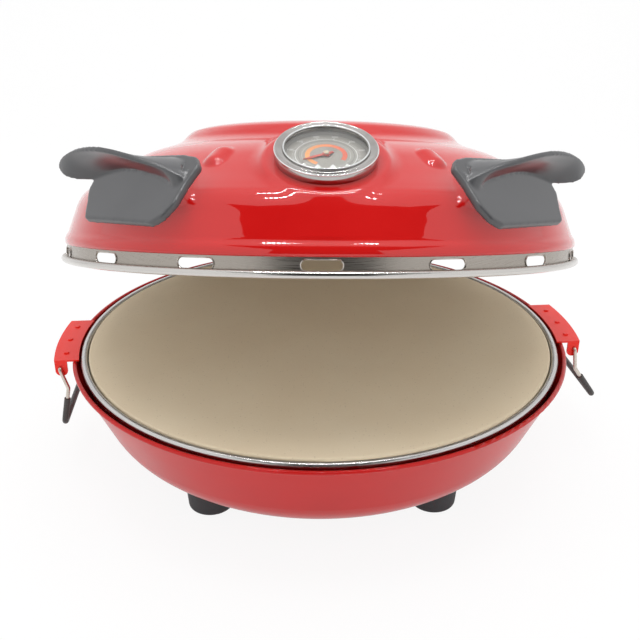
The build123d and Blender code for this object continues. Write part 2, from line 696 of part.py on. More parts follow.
stem_nut = Pos(0, 0, -bezel_h - lid_t - seat_gap - stem_nut_h) * hex_nut(
    stem_nut_af, stem_nut_h, stem_r + run_gap)
needle_z = stem_top + 0.5
needle = Pos((needle_l - needle_tail) / 2, 0, needle_z + needle_t / 2) * Box(
    needle_l + needle_tail, needle_w, needle_t)
tip = extrude(make_face(poly([(needle_l - 5, needle_w), (needle_l + 1, needle_w), (needle_l + 1, 0.15),
                              (needle_l, 0.15), (needle_l - 5, needle_w / 2)])), 4)
needle = needle - Pos(0, 0, needle_z - 2) * tip - Pos(0, 0, needle_z - 2) * mirror(tip, about=Plane.XZ)
needle += Pos(0, 0, needle_z + 0.1) * Cylinder(hub_r + 0.5, needle_t + 0.2)
needle = needle.rotate(Axis.Z, needle_rest)
arbor_l = 3.6
arbor = Pos(0, 0, needle_z + needle_t - arbor_l / 2) * Cylinder(0.6, arbor_l)
needle = needle + arbor
hub = Pos(0, 0, needle_z + needle_t + 0.2 + 0.4) * Cylinder(hub_r, 0.6)

# ---------------------------------------------------------------- lid: handles
handle = extrude(plate_face, -plate_t)
top_edges = handle.faces().sort_by(Axis.Z)[-1].edges()
handle = fillet(top_edges, 1.0)
sections = []
for u, v0, w0, v1, w1, v_top in blade:
    n = math.hypot(v1 - v0, w1 - w0)
    dv, dw = (v1 - v0) / n, (w1 - w0) / n
    quad = []
    for v, w, half in ((v0, w0, blade_root_t / 2), (v1, w1, blade_edge_t / 2)):
        quad.append([(v + dw * half, w - dv * half), (v - dw * half, w + dv * half)])
    (p0, p1), (p2, p3) = quad
    if v_top is not None:
        p0 = (v_top, -0.8)
    frame = Plane(origin=(u, 0, 0), x_dir=(0, 1, 0), z_dir=(1, 0, 0))
    sections.append(frame * make_face(poly([p0, p2, p3, p1])))
handle += loft(sections)
for u, v in grip_screws:
    handle -= Pos(u, v, -plate_t) * Cylinder(grip_screw_r + run_gap, 2 * (plate_t - 1.0))
left_handle = grip_plane * handle
fixings = []
for u, v in grip_screws:
    fix = screw(grip_screw_r, plate_t - 1.2 + lid_t + pad_gap + seat_gap, 3.6, 2.2).rotate(Axis.X, 180)
    fixings.append(grip_plane * Pos(u, v, -plate_t - pad_gap - lid_t - seat_gap) * fix)
left_fixings = one(fixings)

# ---------------------------------------------------------------- hinge
axis_at = (hinge_y, hinge_z)
lid_ear_out = lid_ear_in + ear_t
base_ear_in = lid_ear_out + ear_gap
base_ear_out = base_ear_in + ear_t


def ear(outline, x0, x1):
    """Flat ear between x0 and x1 with a round knuckle on the hinge axis."""
    sheet = Plane.YZ * Pos(*axis_at) * Circle(knuckle_r)
    sheet += Plane.YZ * make_face(poly(outline))
    return Pos(x0, 0, 0) * extrude(sheet, x1 - x0)


def pair(solid):
    return solid + mirrored(solid)


base_keep_out = bowl_solid(seat_gap)
low_z, high_z = -base_leaf_low, -base_leaf_top
leaf_box = Pos(0, hinge_y - 30, (low_z + high_z) / 2) * Box(2 * leaf_half, 60, high_z - low_z)
base_leaf = (bowl_solid(seat_gap + leaf_t) - base_keep_out) & leaf_box
base_outline = [(hinge_y - knuckle_r, hinge_z), (hinge_y + knuckle_r, hinge_z), (hinge_y + 3.5, -18.0),
                (hinge_y - 12, low_z), (hinge_y - 36, low_z), (hinge_y - 36, high_z), (hinge_y - 8.5, -3.5)]
base_leaf += pair(ear(base_outline, base_ear_in, base_ear_out)) - base_keep_out
base_leaf -= Pos(0, *axis_at) * Rot(0, 90, 0) * Cylinder(pin_r + 0.02, 4 * leaf_half)
base_leaf = base_leaf.rotate(Axis.Z, hinge_turn)

lid_keep_out = dome_solid(seat_gap, band_z)
lid_box_z = (lid_leaf_low, lid_leaf_top)
lid_box = Pos(0, hinge_y - 30, sum(lid_box_z) / 2) * Box(2 * lid_ear_out, 60, lid_box_z[1] - lid_box_z[0])
lid_leaf = (dome_solid(seat_gap + leaf_t, band_z) - lid_keep_out) & lid_box
lid_outline = [(hinge_y - knuckle_r, hinge_z), (hinge_y + knuckle_r, hinge_z), (hinge_y + knuckle_r, 15.0),
               (hinge_y - 12, lid_box_z[1]), (hinge_y - 40, lid_box_z[1]), (hinge_y - 40, lid_box_z[0]),
               (hinge_y - 20, 20.0), (hinge_y - 7, 12.0)]
lid_ears = pair(ear(lid_outline, lid_ear_in, lid_ear_out)) - lid_keep_out
lid_leaf += lid_ears
lid_leaf -= Pos(0, *axis_at) * Rot(0, 90, 0) * Cylinder(pin_r + run_gap, 4 * leaf_half)
lid_leaf = lid_leaf.rotate(Axis.Z, hinge_turn)

pin_l = 2 * base_ear_out + 0.6
pin = Pos(0, *axis_at) * Rot(0, 90, 0) * Cylinder(pin_r, pin_l)
for way in (-1, 1):
    cap = Rot(0, 90 * way, 0) * Cylinder(pin_head_r, pin_head_t)
    pin += Pos(way * (pin_l / 2 + pin_head_t / 2 - 0.2), *axis_at) * cap
pin = pin.rotate(Axis.Z, hinge_turn)

base_rivets, lid_rivets = [], []
for way in (-1, 1):
    for drop in (18.5, 28.5):
        x = way * (leaf_half - 5.0)
        r = rim_c - (drop - rim_drop) * math.tan(s)
        turn = math.degrees(math.acos(x / r))
        turn += hinge_turn
        at = Plane(origin=polar(r, turn, -drop), z_dir=Vector(*polar(math.cos(s), turn, -math.sin(s))))
        fix = Pos(0, 0, leaf_t + 2 * seat_gap) * screw(2.0, leaf_t + 2 * seat_gap + bowl_t + 2.6, 3.8, 1.8)
        hole = at * Cylinder(2.0 + run_gap, 16)
        base_leaf -= hole
        bowl -= hole
        base_rivets.append(at * fix)
    for rise in (31.0, 40.0):
        x = way * (lid_ear_in - 7.0)
        i = max(n for n in range(len(dome) - 1) if dome[n][1] <= rise)
        (r0, h0), (r1, h1) = dome[i], dome[i + 1]
        r = r0 + (r1 - r0) * (rise - h0) / (h1 - h0)
        n = math.hypot(r1 - r0, h1 - h0)
        turn = math.degrees(math.acos(x / r)) + hinge_turn
        out = polar((h1 - h0) / n, turn, (r0 - r1) / n)
        at = Plane(origin=polar(r, turn, rise), z_dir=Vector(*out))
        fix = Pos(0, 0, leaf_t + 4 * seat_gap) * screw(2.0, leaf_t + 4 * seat_gap + lid_t + 2.6, 3.8, 1.8)
        hole = at * Cylinder(2.0 + run_gap, 16)
        lid_leaf -= hole
        shell -= hole
        lid_rivets.append(at * fix)
nodes["bowl"] = bowl
nodes["base_hinge"] = base_leaf
nodes["base_hinge_rivets"] = one(base_rivets)
nodes["hinge_pin"] = pin

# ---------------------------------------------------------------- the lid's pieces, opened
lid_nodes = {
    "lid_shell": shell, "lid_skirt": skirt, "lid_liner": liner, "upper_heater": upper_loop,
    "upper_clips": upper_clips, "upper_block": upper_block, "lid_hinge": lid_leaf,
    "lid_hinge_rivets": one(lid_rivets), "left_handle": left_handle, "right_handle": mirrored(left_handle),
    "left_handle_screws": left_fixings, "right_handle_screws": mirrored(left_fixings),
    "dial_case": dial_plane * case, "dial_bezel": dial_plane * bezel, "dial_glass": dial_plane * glass,
    "dial_face": dial_plane * face, "dial_stem": dial_plane * stem, "dial_nut": dial_plane * stem_nut,
    "dial_needle": dial_plane * needle, "dial_hub": dial_plane * hub,
}
for name, piece in lid_nodes.items():
    nodes[name] = opened(piece)

for name, piece in nodes.items():
    export_step(piece, "parts/" + name + ".step")

# ---------------------------------------------------------------- where things are
print("nodes", len(nodes))
print("floor z", floor_z, " lip z closed", round(lip_z, 3), " bracket top", round(bracket_top, 3))
shown = opened(dial_plane * Pos(0, 0, 0) * Box(2, 2, 2)).faces().sort_by(Axis.Z)[-1]
print("dial", shown.center() - shown.normal_at() * 1.0, shown.normal_at())
print("hinge", hinge_at, hinge_dir)
print("bail pivots", [round(v, 3) for v in polar(pivot_out, bracket_turn, pivot_z)], "and",
      [round(v, 3) for v in polar(pivot_out, 180 + bracket_turn, pivot_z)])
print("gland", gland_plane.origin, gland_plane.z_dir)
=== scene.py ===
import json
import math

import bpy
import bmesh
import numpy as np
from mathutils import Matrix, Vector

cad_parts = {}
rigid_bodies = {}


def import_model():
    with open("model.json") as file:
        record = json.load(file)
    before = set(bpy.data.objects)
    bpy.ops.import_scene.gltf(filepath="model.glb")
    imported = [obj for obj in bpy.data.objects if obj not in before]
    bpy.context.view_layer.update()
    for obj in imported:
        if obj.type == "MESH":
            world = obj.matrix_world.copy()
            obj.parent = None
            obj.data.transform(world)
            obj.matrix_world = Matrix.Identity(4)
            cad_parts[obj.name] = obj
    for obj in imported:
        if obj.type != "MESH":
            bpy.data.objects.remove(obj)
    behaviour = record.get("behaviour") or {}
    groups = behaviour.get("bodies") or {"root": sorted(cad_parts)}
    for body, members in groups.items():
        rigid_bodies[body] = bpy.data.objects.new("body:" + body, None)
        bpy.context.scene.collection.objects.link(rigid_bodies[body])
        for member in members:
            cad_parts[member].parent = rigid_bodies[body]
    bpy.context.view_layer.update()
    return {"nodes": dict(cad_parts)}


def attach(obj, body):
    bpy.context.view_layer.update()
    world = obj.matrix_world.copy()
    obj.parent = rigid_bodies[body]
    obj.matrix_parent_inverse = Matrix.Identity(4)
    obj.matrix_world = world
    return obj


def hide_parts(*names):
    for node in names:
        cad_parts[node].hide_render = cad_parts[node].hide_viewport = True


for leftover in list(bpy.data.objects):
    bpy.data.objects.remove(leftover)
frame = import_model()
nodes = frame["nodes"]
MM = 0.001

# ------------------------------------------------------------------ the lid's opening, millimetres
HINGE_AT = Vector((6.982932, 173.859825, 4.0))
HINGE_DIR = Vector((0.999194, -0.040132, 0.0))
LID_OPEN = math.radians(-16.95)
open_lid = (Matrix.Translation(HINGE_AT) @ Matrix.Rotation(LID_OPEN, 4, HINGE_DIR)
            @ Matrix.Translation(-HINGE_AT))
metres = Matrix.Scale(MM, 4)
lid_place = metres @ open_lid

DIAL_TILT = math.radians(33.45)
dial_local = Matrix.Translation((0.0, -130.0, 65.15)) @ Matrix.Rotation(DIAL_TILT, 4, "X")
dial_place = lid_place @ dial_local

GRIP_TURN, GRIP_SLOPE = math.radians(41.0), math.radians(50.0)
grip_out = Vector((-math.sin(GRIP_TURN), -math.cos(GRIP_TURN), 0.0))
grip_w = grip_out * math.sin(GRIP_SLOPE) + Vector((0, 0, math.cos(GRIP_SLOPE)))
grip_u = Vector((math.cos(GRIP_TURN), -math.sin(GRIP_TURN), 0.0))
grip_v = grip_w.cross(grip_u)
grip_at = grip_out * 146.0 + Vector((0, 0, 43.8)) + grip_w * 9.0


# ------------------------------------------------------------------ camera
def look():
    """The camera of the photograph: pinhole, aimed at the stone from the front."""
    far, lens_px = 568.0, 820.0
    tip, turn, pan, tilt, roll = (math.radians(x) for x in (25.6, -1.2, 0.03, 0.75, 0.1))
    at = far * Vector((math.sin(turn) * math.cos(tip), -math.cos(turn) * math.cos(tip), math.sin(tip)))
    ahead = (-at).normalized()
    right = Vector((math.cos(turn), math.sin(turn), 0.0))
    up = right.cross(ahead)
    ahead, right = (ahead * math.cos(pan) + right * math.sin(pan),
                    right * math.cos(pan) - ahead * math.sin(pan))
    ahead, up = ahead * math.cos(tilt) + up * math.sin(tilt), up * math.cos(tilt) - ahead * math.sin(tilt)
    right, up = right * math.cos(roll) + up * math.sin(roll), up * math.cos(roll) - right * math.sin(roll)
    data = bpy.data.cameras.new("camera")
    data.sensor_width = 36.0
    data.lens = lens_px / 640.0 * 36.0
    data.clip_start, data.clip_end = 0.01, 50.0
    camera = bpy.data.objects.new("camera", data)
    bpy.context.scene.collection.objects.link(camera)
    rows = [[right[i], up[i], -ahead[i], at[i] * MM] for i in range(3)]
    camera.matrix_world = Matrix(rows + [[0, 0, 0, 1]])
    bpy.context.scene.camera = camera


look()


# ------------------------------------------------------------------ shader groups
def new_group(name, sockets_in, sockets_out):
    tree = bpy.data.node_groups.new(name, "ShaderNodeTree")
    for label, kind, value in sockets_in:
        socket = tree.interface.new_socket(label, in_out="INPUT", socket_type=kind)
        if value is not None:
            socket.default_value = value
    for label, kind in sockets_out:
        tree.interface.new_socket(label, in_out="OUTPUT", socket_type=kind)
    return tree, tree.nodes.new("NodeGroupInput"), tree.nodes.new("NodeGroupOutput")


def node(tree, kind, inputs=None, **settings):
    made = tree.nodes.new(kind)
    for key, value in settings.items():
        setattr(made, key, value)
    for key, value in (inputs or {}).items():
        if isinstance(value, bpy.types.NodeSocket):
            tree.links.new(value, made.inputs[key])
        else:
            made.inputs[key].default_value = value
    return made


def maths(tree, operation, a, b=0.0, c=0.0):
    return node(tree, "ShaderNodeMath", {0: a, 1: b, 2: c}, operation=operation).outputs[0]


def ramp_range(tree, value, low, high, out_low=0.0, out_high=1.0):
    made = node(tree, "ShaderNodeMapRange", {0: value, 1: low, 2: high, 3: out_low, 4: out_high})
    return made.outputs[0]


def blend_colour(tree, share, first, second):
    made = node(tree, "ShaderNodeMix", {0: share}, data_type="RGBA")
    for slot_index, value in ((6, first), (7, second)):
        if isinstance(value, bpy.types.NodeSocket):
            tree.links.new(value, made.inputs[slot_index])
        else:
            made.inputs[slot_index].default_value = value
    return made.outputs[2]


F, C, V = "NodeSocketFloat", "NodeSocketColor", "NodeSocketVector"


def make_mottle():
    """Two tones that drift into each other, with a mask for roughness."""
    tree, given, out = new_group("mottle", [("Vector", V, None), ("Scale", F, 60.0), ("Detail", F, 4.0),
                                            ("Low", F, 0.35), ("High", F, 0.65), ("Tone A", C, (0, 0, 0, 1)),
                                            ("Tone B", C, (1, 1, 1, 1))], [("Color", C), ("Mask", F)])
    noise = node(tree, "ShaderNodeTexNoise", {"Vector": given.outputs["Vector"], "Scale": given.outputs["Scale"],
                                              "Detail": given.outputs["Detail"]})
    mask = ramp_range(tree, noise.outputs["Fac"], given.outputs["Low"], given.outputs["High"])
    colour = blend_colour(tree, mask, given.outputs["Tone A"], given.outputs["Tone B"])
    tree.links.new(colour, out.inputs["Color"])
    tree.links.new(mask, out.inputs["Mask"])
    return tree


def make_peel():
    """Fine wavy skin of a sprayed or moulded surface."""
    tree, given, out = new_group("peel", [("Vector", V, None), ("Scale", F, 300.0), ("Strength", F, 0.1),
                                          ("Distance", F, 0.0002)], [("Normal", V), ("Height", F)])
    noise = node(tree, "ShaderNodeTexNoise", {"Vector": given.outputs["Vector"], "Scale": given.outputs["Scale"],
                                              "Detail": 2.0})
    bump = node(tree, "ShaderNodeBump", {"Strength": given.outputs["Strength"],
                                         "Distance": given.outputs["Distance"], "Height": noise.outputs["Fac"]})
    tree.links.new(bump.outputs["Normal"], out.inputs["Normal"])
    tree.links.new(noise.outputs["Fac"], out.inputs["Height"])
    return tree


def make_brush():
    """Lines drawn round the upright axis by a spinning polish, as a mask and a height."""
    tree, given, out = new_group("brush", [("Vector", V, None), ("Across", F, 2600.0), ("Along", F, 6.0)],
                                 [("Mask", F), ("Height", F)])
    parts = node(tree, "ShaderNodeSeparateXYZ", {0: given.outputs["Vector"]})
    x, y, z = parts.outputs
    radius = maths(tree, "SQRT", maths(tree, "ADD", maths(tree, "MULTIPLY", x, x), maths(tree, "MULTIPLY", y, y)))
    turn = maths(tree, "ARCTAN2", y, x)
    line = node(tree, "ShaderNodeCombineXYZ", {
        0: maths(tree, "MULTIPLY", turn, given.outputs["Along"]),
        1: maths(tree, "MULTIPLY", radius, given.outputs["Across"]),
        2: maths(tree, "MULTIPLY", z, given.outputs["Across"])})
    noise = node(tree, "ShaderNodeTexNoise", {"Vector": line.outputs[0], "Scale": 1.0, "Detail": 3.0})
    tree.links.new(ramp_range(tree, noise.outputs["Fac"], 0.3, 0.7), out.inputs["Mask"])
    tree.links.new(noise.outputs["Fac"], out.inputs["Height"])
    return tree


def make_specks():
    """Scattered dark and light grains of fired clay."""
    tree, given, out = new_group("specks", [("Vector", V, None), ("Scale", F, 900.0), ("Share", F, 0.12)],
                                 [("Mask", F), ("Height", F)])
    cells = node(tree, "ShaderNodeTexVoronoi", {"Vector": given.outputs["Vector"],
                                                "Scale": given.outputs["Scale"]})
    noise = node(tree, "ShaderNodeTexNoise", {"Vector": given.outputs["Vector"], "Scale": given.outputs["Scale"],
                                              "Detail": 3.0})
    near = ramp_range(tree, cells.outputs["Distance"], 0.18, 0.34, 1.0, 0.0)
    tint = node(tree, "ShaderNodeSeparateXYZ", {0: cells.outputs["Color"]})
    chosen = maths(tree, "LESS_THAN", tint.outputs[0], given.outputs["Share"])
    tree.links.new(maths(tree, "MULTIPLY", near, chosen), out.inputs["Mask"])
    tree.links.new(noise.outputs["Fac"], out.inputs["Height"])
    return tree


def make_lid_level():
    """Height over the closed rim, in millimetres, measured square to the open lid."""
    up = open_lid.to_3x3() @ Vector((0, 0, 1))
    tree, given, out = new_group("lid_level", [("Vector", V, None)], [("Level", F)])
    drop = node(tree, "ShaderNodeVectorMath", {0: given.outputs["Vector"], 1: tuple(up / MM)},
                operation="DOT_PRODUCT")
    level = maths(tree, "SUBTRACT", drop.outputs["Value"], (open_lid @ Vector((0, 0, 0))).dot(up))
    tree.links.new(level, out.inputs["Level"])
    return tree


mottle, peel, brush, specks = make_mottle(), make_peel(), make_brush(), make_specks()
lid_level = make_lid_level()


class Finish:
    """One material: a Principled shader fed by the shared groups."""

    def __init__(self, name, **constants):
        self.material = bpy.data.materials.new(name)
        self.material.use_nodes = True
        self.tree = self.material.node_tree
        self.shader = self.tree.nodes["Principled BSDF"]
        for key, value in constants.items():
            self.shader.inputs[key.replace("_", " ")].default_value = value
        self.where = node(self.tree, "ShaderNodeTexCoord").outputs["Object"]

    def put(self, group, **values):
        made = self.tree.nodes.new("ShaderNodeGroup")
        made.node_tree = group
        self.tree.links.new(self.where, made.inputs["Vector"])
        for key, value in values.items():
            made.inputs[key.replace("_", " ")].default_value = value
        return made

    def feed(self, socket, value):
        self.tree.links.new(value, self.shader.inputs[socket])

    def tones(self, first, second, scale=60.0, detail=4.0, low=0.35, high=0.65):
        made = self.put(mottle, Scale=scale, Detail=detail, Low=low, High=high,
                        Tone_A=(*first, 1), Tone_B=(*second, 1))
        self.feed("Base Color", made.outputs["Color"])
        return made.outputs["Mask"]

    def rough(self, mask, low, high):
        self.feed("Roughness", ramp_range(self.tree, mask, 0.0, 1.0, low, high))

    def skin(self, scale, strength, distance=0.0002):
        made = self.put(peel, Scale=scale, Strength=strength, Distance=distance)
        self.feed("Normal", made.outputs["Normal"])
        return made.outputs["Height"]

    def bump(self, height, strength, distance):
        made = node(self.tree, "ShaderNodeBump", {"Strength": strength, "Distance": distance, "Height": height})
        self.feed("Normal", made.outputs["Normal"])


def enamel(name, first, second, gloss=0.8, index=1.5):
    made = Finish(name, Coat_Weight=gloss, Coat_Roughness=0.03, Coat_IOR=index, Specular_IOR_Level=0.08)
    mask = made.tones(first, second, 22.0, 3.0)
    made.rough(mask, 0.30, 0.38)
    made.skin(420.0, 0.05, 0.00025)
    return made.material


def brushed_metal(name, first, second, low, high, across=2600.0, along=6.0, **constants):
    made = Finish(name, Metallic=1.0, **constants)
    lines = made.put(brush, Across=across, Along=along)
    made.feed("Base Color", blend_colour(made.tree, lines.outputs["Mask"], (*first, 1), (*second, 1)))
    made.rough(lines.outputs["Mask"], low, high)
    made.bump(lines.outputs["Height"], 0.12, 0.00006)
    return made.material


def plain_metal(name, first, second, low, high, scale=90.0, skin=0.06):
    made = Finish(name, Metallic=1.0)
    mask = made.tones(first, second, scale, 5.0)
    made.rough(mask, low, high)
    made.skin(900.0, skin, 0.0001)
    return made.material


def moulded(name, first, second, low, high, skin_scale=1500.0, skin=0.25, **constants):
    made = Finish(name, **constants)
    mask = made.tones(first, second, 35.0, 4.0)
    made.rough(mask, low, high)
    made.skin(skin_scale, skin, 0.00008)
    return made.material


def skirt_finish():
    """Satin steel wall; the rolled lip is smoother and painted lighter than the wall, a painted highlight along
    the lip.
    """
    made = Finish("skirt_steel", Metallic=1.0)
    lines = made.put(brush, Across=2600.0, Along=6.0)
    level = made.put(lid_level).outputs["Level"]
    lip = ramp_range(made.tree, level, 3.6, 4.4, 1.0, 0.0)
    wall = blend_colour(made.tree, lines.outputs["Mask"], (0.36, 0.325, 0.29, 1), (0.42, 0.385, 0.345, 1))
    # the lip's lighter steel tone is a painted highlight, not a different steel
    made.feed("Base Color", blend_colour(made.tree, lip, wall, (0.62, 0.60, 0.575, 1)))
    grain = ramp_range(made.tree, lines.outputs["Mask"], 0.0, 1.0, 0.24, 0.36)
    made.feed("Roughness", maths(made.tree, "SUBTRACT", grain, maths(made.tree, "MULTIPLY", lip, 0.10)))
    made.bump(lines.outputs["Height"], 0.12, 0.00006)
    return made.material


def stone_finish():
    made = Finish("fired_stone", Specular_IOR_Level=0.3)
    cloud = made.put(mottle, Scale=14.0, Detail=6.0, Low=0.3, High=0.7,
                     Tone_A=(0.80, 0.665, 0.475, 1), Tone_B=(0.84, 0.715, 0.525, 1))
    grains = made.put(specks, Scale=700.0, Share=0.10)
    pale = made.put(specks, Scale=1100.0, Share=0.14)
    colour = blend_colour(made.tree, maths(made.tree, "MULTIPLY", grains.outputs["Mask"], 0.32),
                          cloud.outputs["Color"], (0.45, 0.34, 0.23, 1))
    colour = blend_colour(made.tree, maths(made.tree, "MULTIPLY", pale.outputs["Mask"], 0.35),
                          colour, (0.92, 0.85, 0.72, 1))
    made.feed("Base Color", colour)
    made.rough(cloud.outputs["Mask"], 0.80, 0.92)
    made.bump(pale.outputs["Height"], 0.35, 0.00025)
    return made.material


def glass_finish():
    made = Finish("dial_window", Transmission_Weight=1.0, IOR=1.45, Roughness=0.0)
    mask = made.tones((0.97, 0.985, 0.98), (1.0, 1.0, 1.0), 30.0)
    made.rough(mask, 0.0, 0.012)
    return made.material


def printed_arc():
    """Heat band on the dial: amber on the left, deep orange on the right."""
    made = Finish("heat_band_print", Roughness=0.5)
    parts = node(made.tree, "ShaderNodeSeparateXYZ", {0: made.where})
    share = ramp_range(made.tree, parts.outputs[0], -0.009, 0.011)
    grain = made.put(peel, Scale=2500.0, Strength=0.1)
    share = maths(made.tree, "ADD", share, ramp_range(made.tree, grain.outputs["Height"], 0.3, 0.7, -0.08, 0.08))
    made.feed("Base Color", blend_colour(made.tree, share, (0.98, 0.42, 0.12, 1), (0.80, 0.10, 0.035, 1)))
    return made.material


RED_A, RED_B = (0.560, 0.0035, 0.0030), (0.590, 0.0050, 0.0042)
lid_enamel = enamel("lid_enamel", RED_A, RED_B, 1.0, 1.62)
bowl_enamel = enamel("bowl_enamel", (0.510, 0.0070, 0.0060), (0.545, 0.0090, 0.0080), 0.52)
bracket_enamel = enamel("bracket_enamel", (0.86, 0.022, 0.012), (0.90, 0.028, 0.017), 0.45)
skirt_steel = skirt_finish()
slot_rim_steel = plain_metal("slot_rim_steel", (0.50, 0.46, 0.42), (0.58, 0.54, 0.50), 0.26, 0.36, 300.0)
# the bezel's metal is darker than chrome: painted shade standing in for the grey the bezel reflects
bezel_shaded_metal = plain_metal("bezel_shaded_metal", (0.43, 0.41, 0.395), (0.49, 0.47, 0.455), 0.12, 0.18, 120.0, 0.03)
pan_steel = brushed_metal("pan_steel", (0.56, 0.555, 0.55), (0.68, 0.675, 0.665), 0.22, 0.34, 1800.0, 9.0)
reflector = plain_metal("reflector_sheet", (0.86, 0.855, 0.845), (0.91, 0.905, 0.895), 0.30, 0.42, 40.0)
bright_chrome = plain_metal("bright_chrome", (0.80, 0.80, 0.80), (0.86, 0.86, 0.86), 0.06, 0.12, 50.0, 0.02)
zinc = plain_metal("zinc_steel", (0.55, 0.55, 0.54), (0.68, 0.675, 0.66), 0.28, 0.42, 160.0)
wire_steel = plain_metal("bail_steel", (0.56, 0.50, 0.44), (0.66, 0.61, 0.55), 0.22, 0.34, 220.0)
element_metal = plain_metal("element_sheath", (0.17, 0.165, 0.16), (0.26, 0.25, 0.235), 0.38, 0.52, 120.0)
handle_plastic = moulded("handle_plastic", (0.058, 0.059, 0.063), (0.072, 0.073, 0.077), 0.30, 0.38,
                         Specular_IOR_Level=0.75)
gland_plastic = moulded("gland_plastic", (0.030, 0.030, 0.031), (0.042, 0.042, 0.043), 0.38, 0.50)
foot_rubber = moulded("foot_rubber", (0.030, 0.031, 0.034), (0.044, 0.045, 0.049), 0.52, 0.68, 1200.0, 0.4)
sleeve_vinyl = moulded("sleeve_vinyl", (0.040, 0.036, 0.036), (0.054, 0.049, 0.048), 0.36, 0.50)
ceramic = moulded("steatite", (0.66, 0.61, 0.52), (0.74, 0.70, 0.62), 0.45, 0.60, 700.0, 0.3)
lead_cover = moulded("lead_cover", (0.62, 0.60, 0.56), (0.72, 0.70, 0.66), 0.50, 0.62, 1800.0, 0.3)
dial_paper = moulded("dial_plate_paint", (0.345, 0.325, 0.290), (0.375, 0.355, 0.318), 0.34, 0.44, 2200.0, 0.06)
white_print = moulded("white_print", (0.86, 0.86, 0.84), (0.93, 0.93, 0.92), 0.40, 0.50, 2500.0, 0.1)
dark_print = moulded("dark_print", (0.075, 0.070, 0.066), (0.10, 0.094, 0.088), 0.45, 0.55, 2500.0, 0.1)
needle_paint = moulded("needle_paint", (0.60, 0.060, 0.035), (0.68, 0.085, 0.05), 0.35, 0.45, 2500.0, 0.1)
hub_metal = plain_metal("hub_metal", (0.86, 0.78, 0.58), (0.92, 0.85, 0.68), 0.18, 0.28, 400.0)
stone_paint = stone_finish()
dial_window = glass_finish()
heat_band = printed_arc()


def paint(node_name, material):
    mesh = nodes[node_name].data
    mesh.materials.clear()
    mesh.materials.append(material)


for node_name, material in {
    "baking_stone": stone_paint, "steel_pan": pan_steel, "bowl": bowl_enamel, "lower_heater": element_metal,
    "lower_clips": zinc, "heat_shield": reflector, "pan_posts": zinc, "pan_screws": zinc, "pan_nuts": zinc,
    "terminal_block": ceramic, "thermostat": zinc, "thermal_fuse": zinc, "inner_leads": lead_cover,
    "cord_gland": gland_plastic, "gland_nut": gland_plastic, "foot_front_left": foot_rubber,
    "foot_front_right": foot_rubber, "foot_back_left": foot_rubber, "foot_back_right": foot_rubber,
    "foot_screws": zinc, "foot_nuts": zinc, "left_bracket": bracket_enamel, "right_bracket": bracket_enamel,
    "left_bracket_rivets": bracket_enamel, "right_bracket_rivets": bracket_enamel, "left_bail_wire": wire_steel,
    "right_bail_wire": wire_steel, "left_bail_sleeve": sleeve_vinyl, "right_bail_sleeve": sleeve_vinyl,
    "base_hinge": zinc, "base_hinge_rivets": zinc, "hinge_pin": zinc, "lid_shell": lid_enamel,
    "lid_skirt": skirt_steel, "lid_liner": reflector, "upper_heater": element_metal, "upper_clips": zinc,
    "upper_block": ceramic, "lid_hinge": zinc, "lid_hinge_rivets": zinc, "left_handle": handle_plastic,
    "right_handle": handle_plastic, "left_handle_screws": zinc, "right_handle_screws": zinc,
    "dial_case": bright_chrome, "dial_bezel": bezel_shaded_metal, "dial_glass": dial_window, "dial_face": dial_paper,
    "dial_stem": zinc, "dial_nut": zinc, "dial_needle": needle_paint, "dial_hub": hub_metal,
}.items():
    paint(node_name, material)


# ------------------------------------------------------------------ helpers for pieces
def piece_from(name, vertices, faces, material, body, place=None, smooth=True, crease=40.0):
    mesh = bpy.data.meshes.new(name)
    mesh.from_pydata([tuple(v) for v in vertices], [], faces)
    if place is not None:
        mesh.transform(place)
        if place.determinant() < 0:
            mesh.flip_normals()
    mesh.materials.append(material)
    if smooth:
        mesh.shade_smooth()
        mesh.set_sharp_from_angle(angle=math.radians(crease))
    mesh.update()
    made = bpy.data.objects.new(name, mesh)
    bpy.context.scene.collection.objects.link(made)
    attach(made, body)
    return made


def baked(made, name):
    """Plain mesh of an object with live modifiers; the object itself goes."""
    bpy.context.view_layer.update()
    graph = bpy.context.evaluated_depsgraph_get()
    mesh = bpy.data.meshes.new_from_object(made.evaluated_get(graph))
    mesh.name = name
    bpy.data.objects.remove(made)
    return mesh


def show(mesh, name, body, place=None, crease=40.0):
    if place is not None:
        mesh.transform(place)
        if place.determinant() < 0:
            mesh.flip_normals()
    mesh.shade_smooth()
    mesh.set_sharp_from_angle(angle=math.radians(crease))
    made = bpy.data.objects.new(name, mesh)
    bpy.context.scene.collection.objects.link(made)
    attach(made, body)
    return made


def round_ring(name, radius, level, section, material, body, place, around, across):
    """Closed round bar, bent to a ring about the upright axis."""
    vertices, faces = [], []
    for i in range(around):
        a = math.tau * i / around
        for j in range(across):
            b = math.tau * j / across
            r = radius + section * math.cos(b)
            vertices.append((r * math.cos(a), r * math.sin(a), level + section * math.sin(b)))
    for i in range(around):
        k = (i + 1) % around
        for j in range(across):
            m = (j + 1) % across
            faces.append((i * across + j, k * across + j, k * across + m, i * across + m))
    piece_from(name, vertices, faces, material, body, place, crease=80.0)


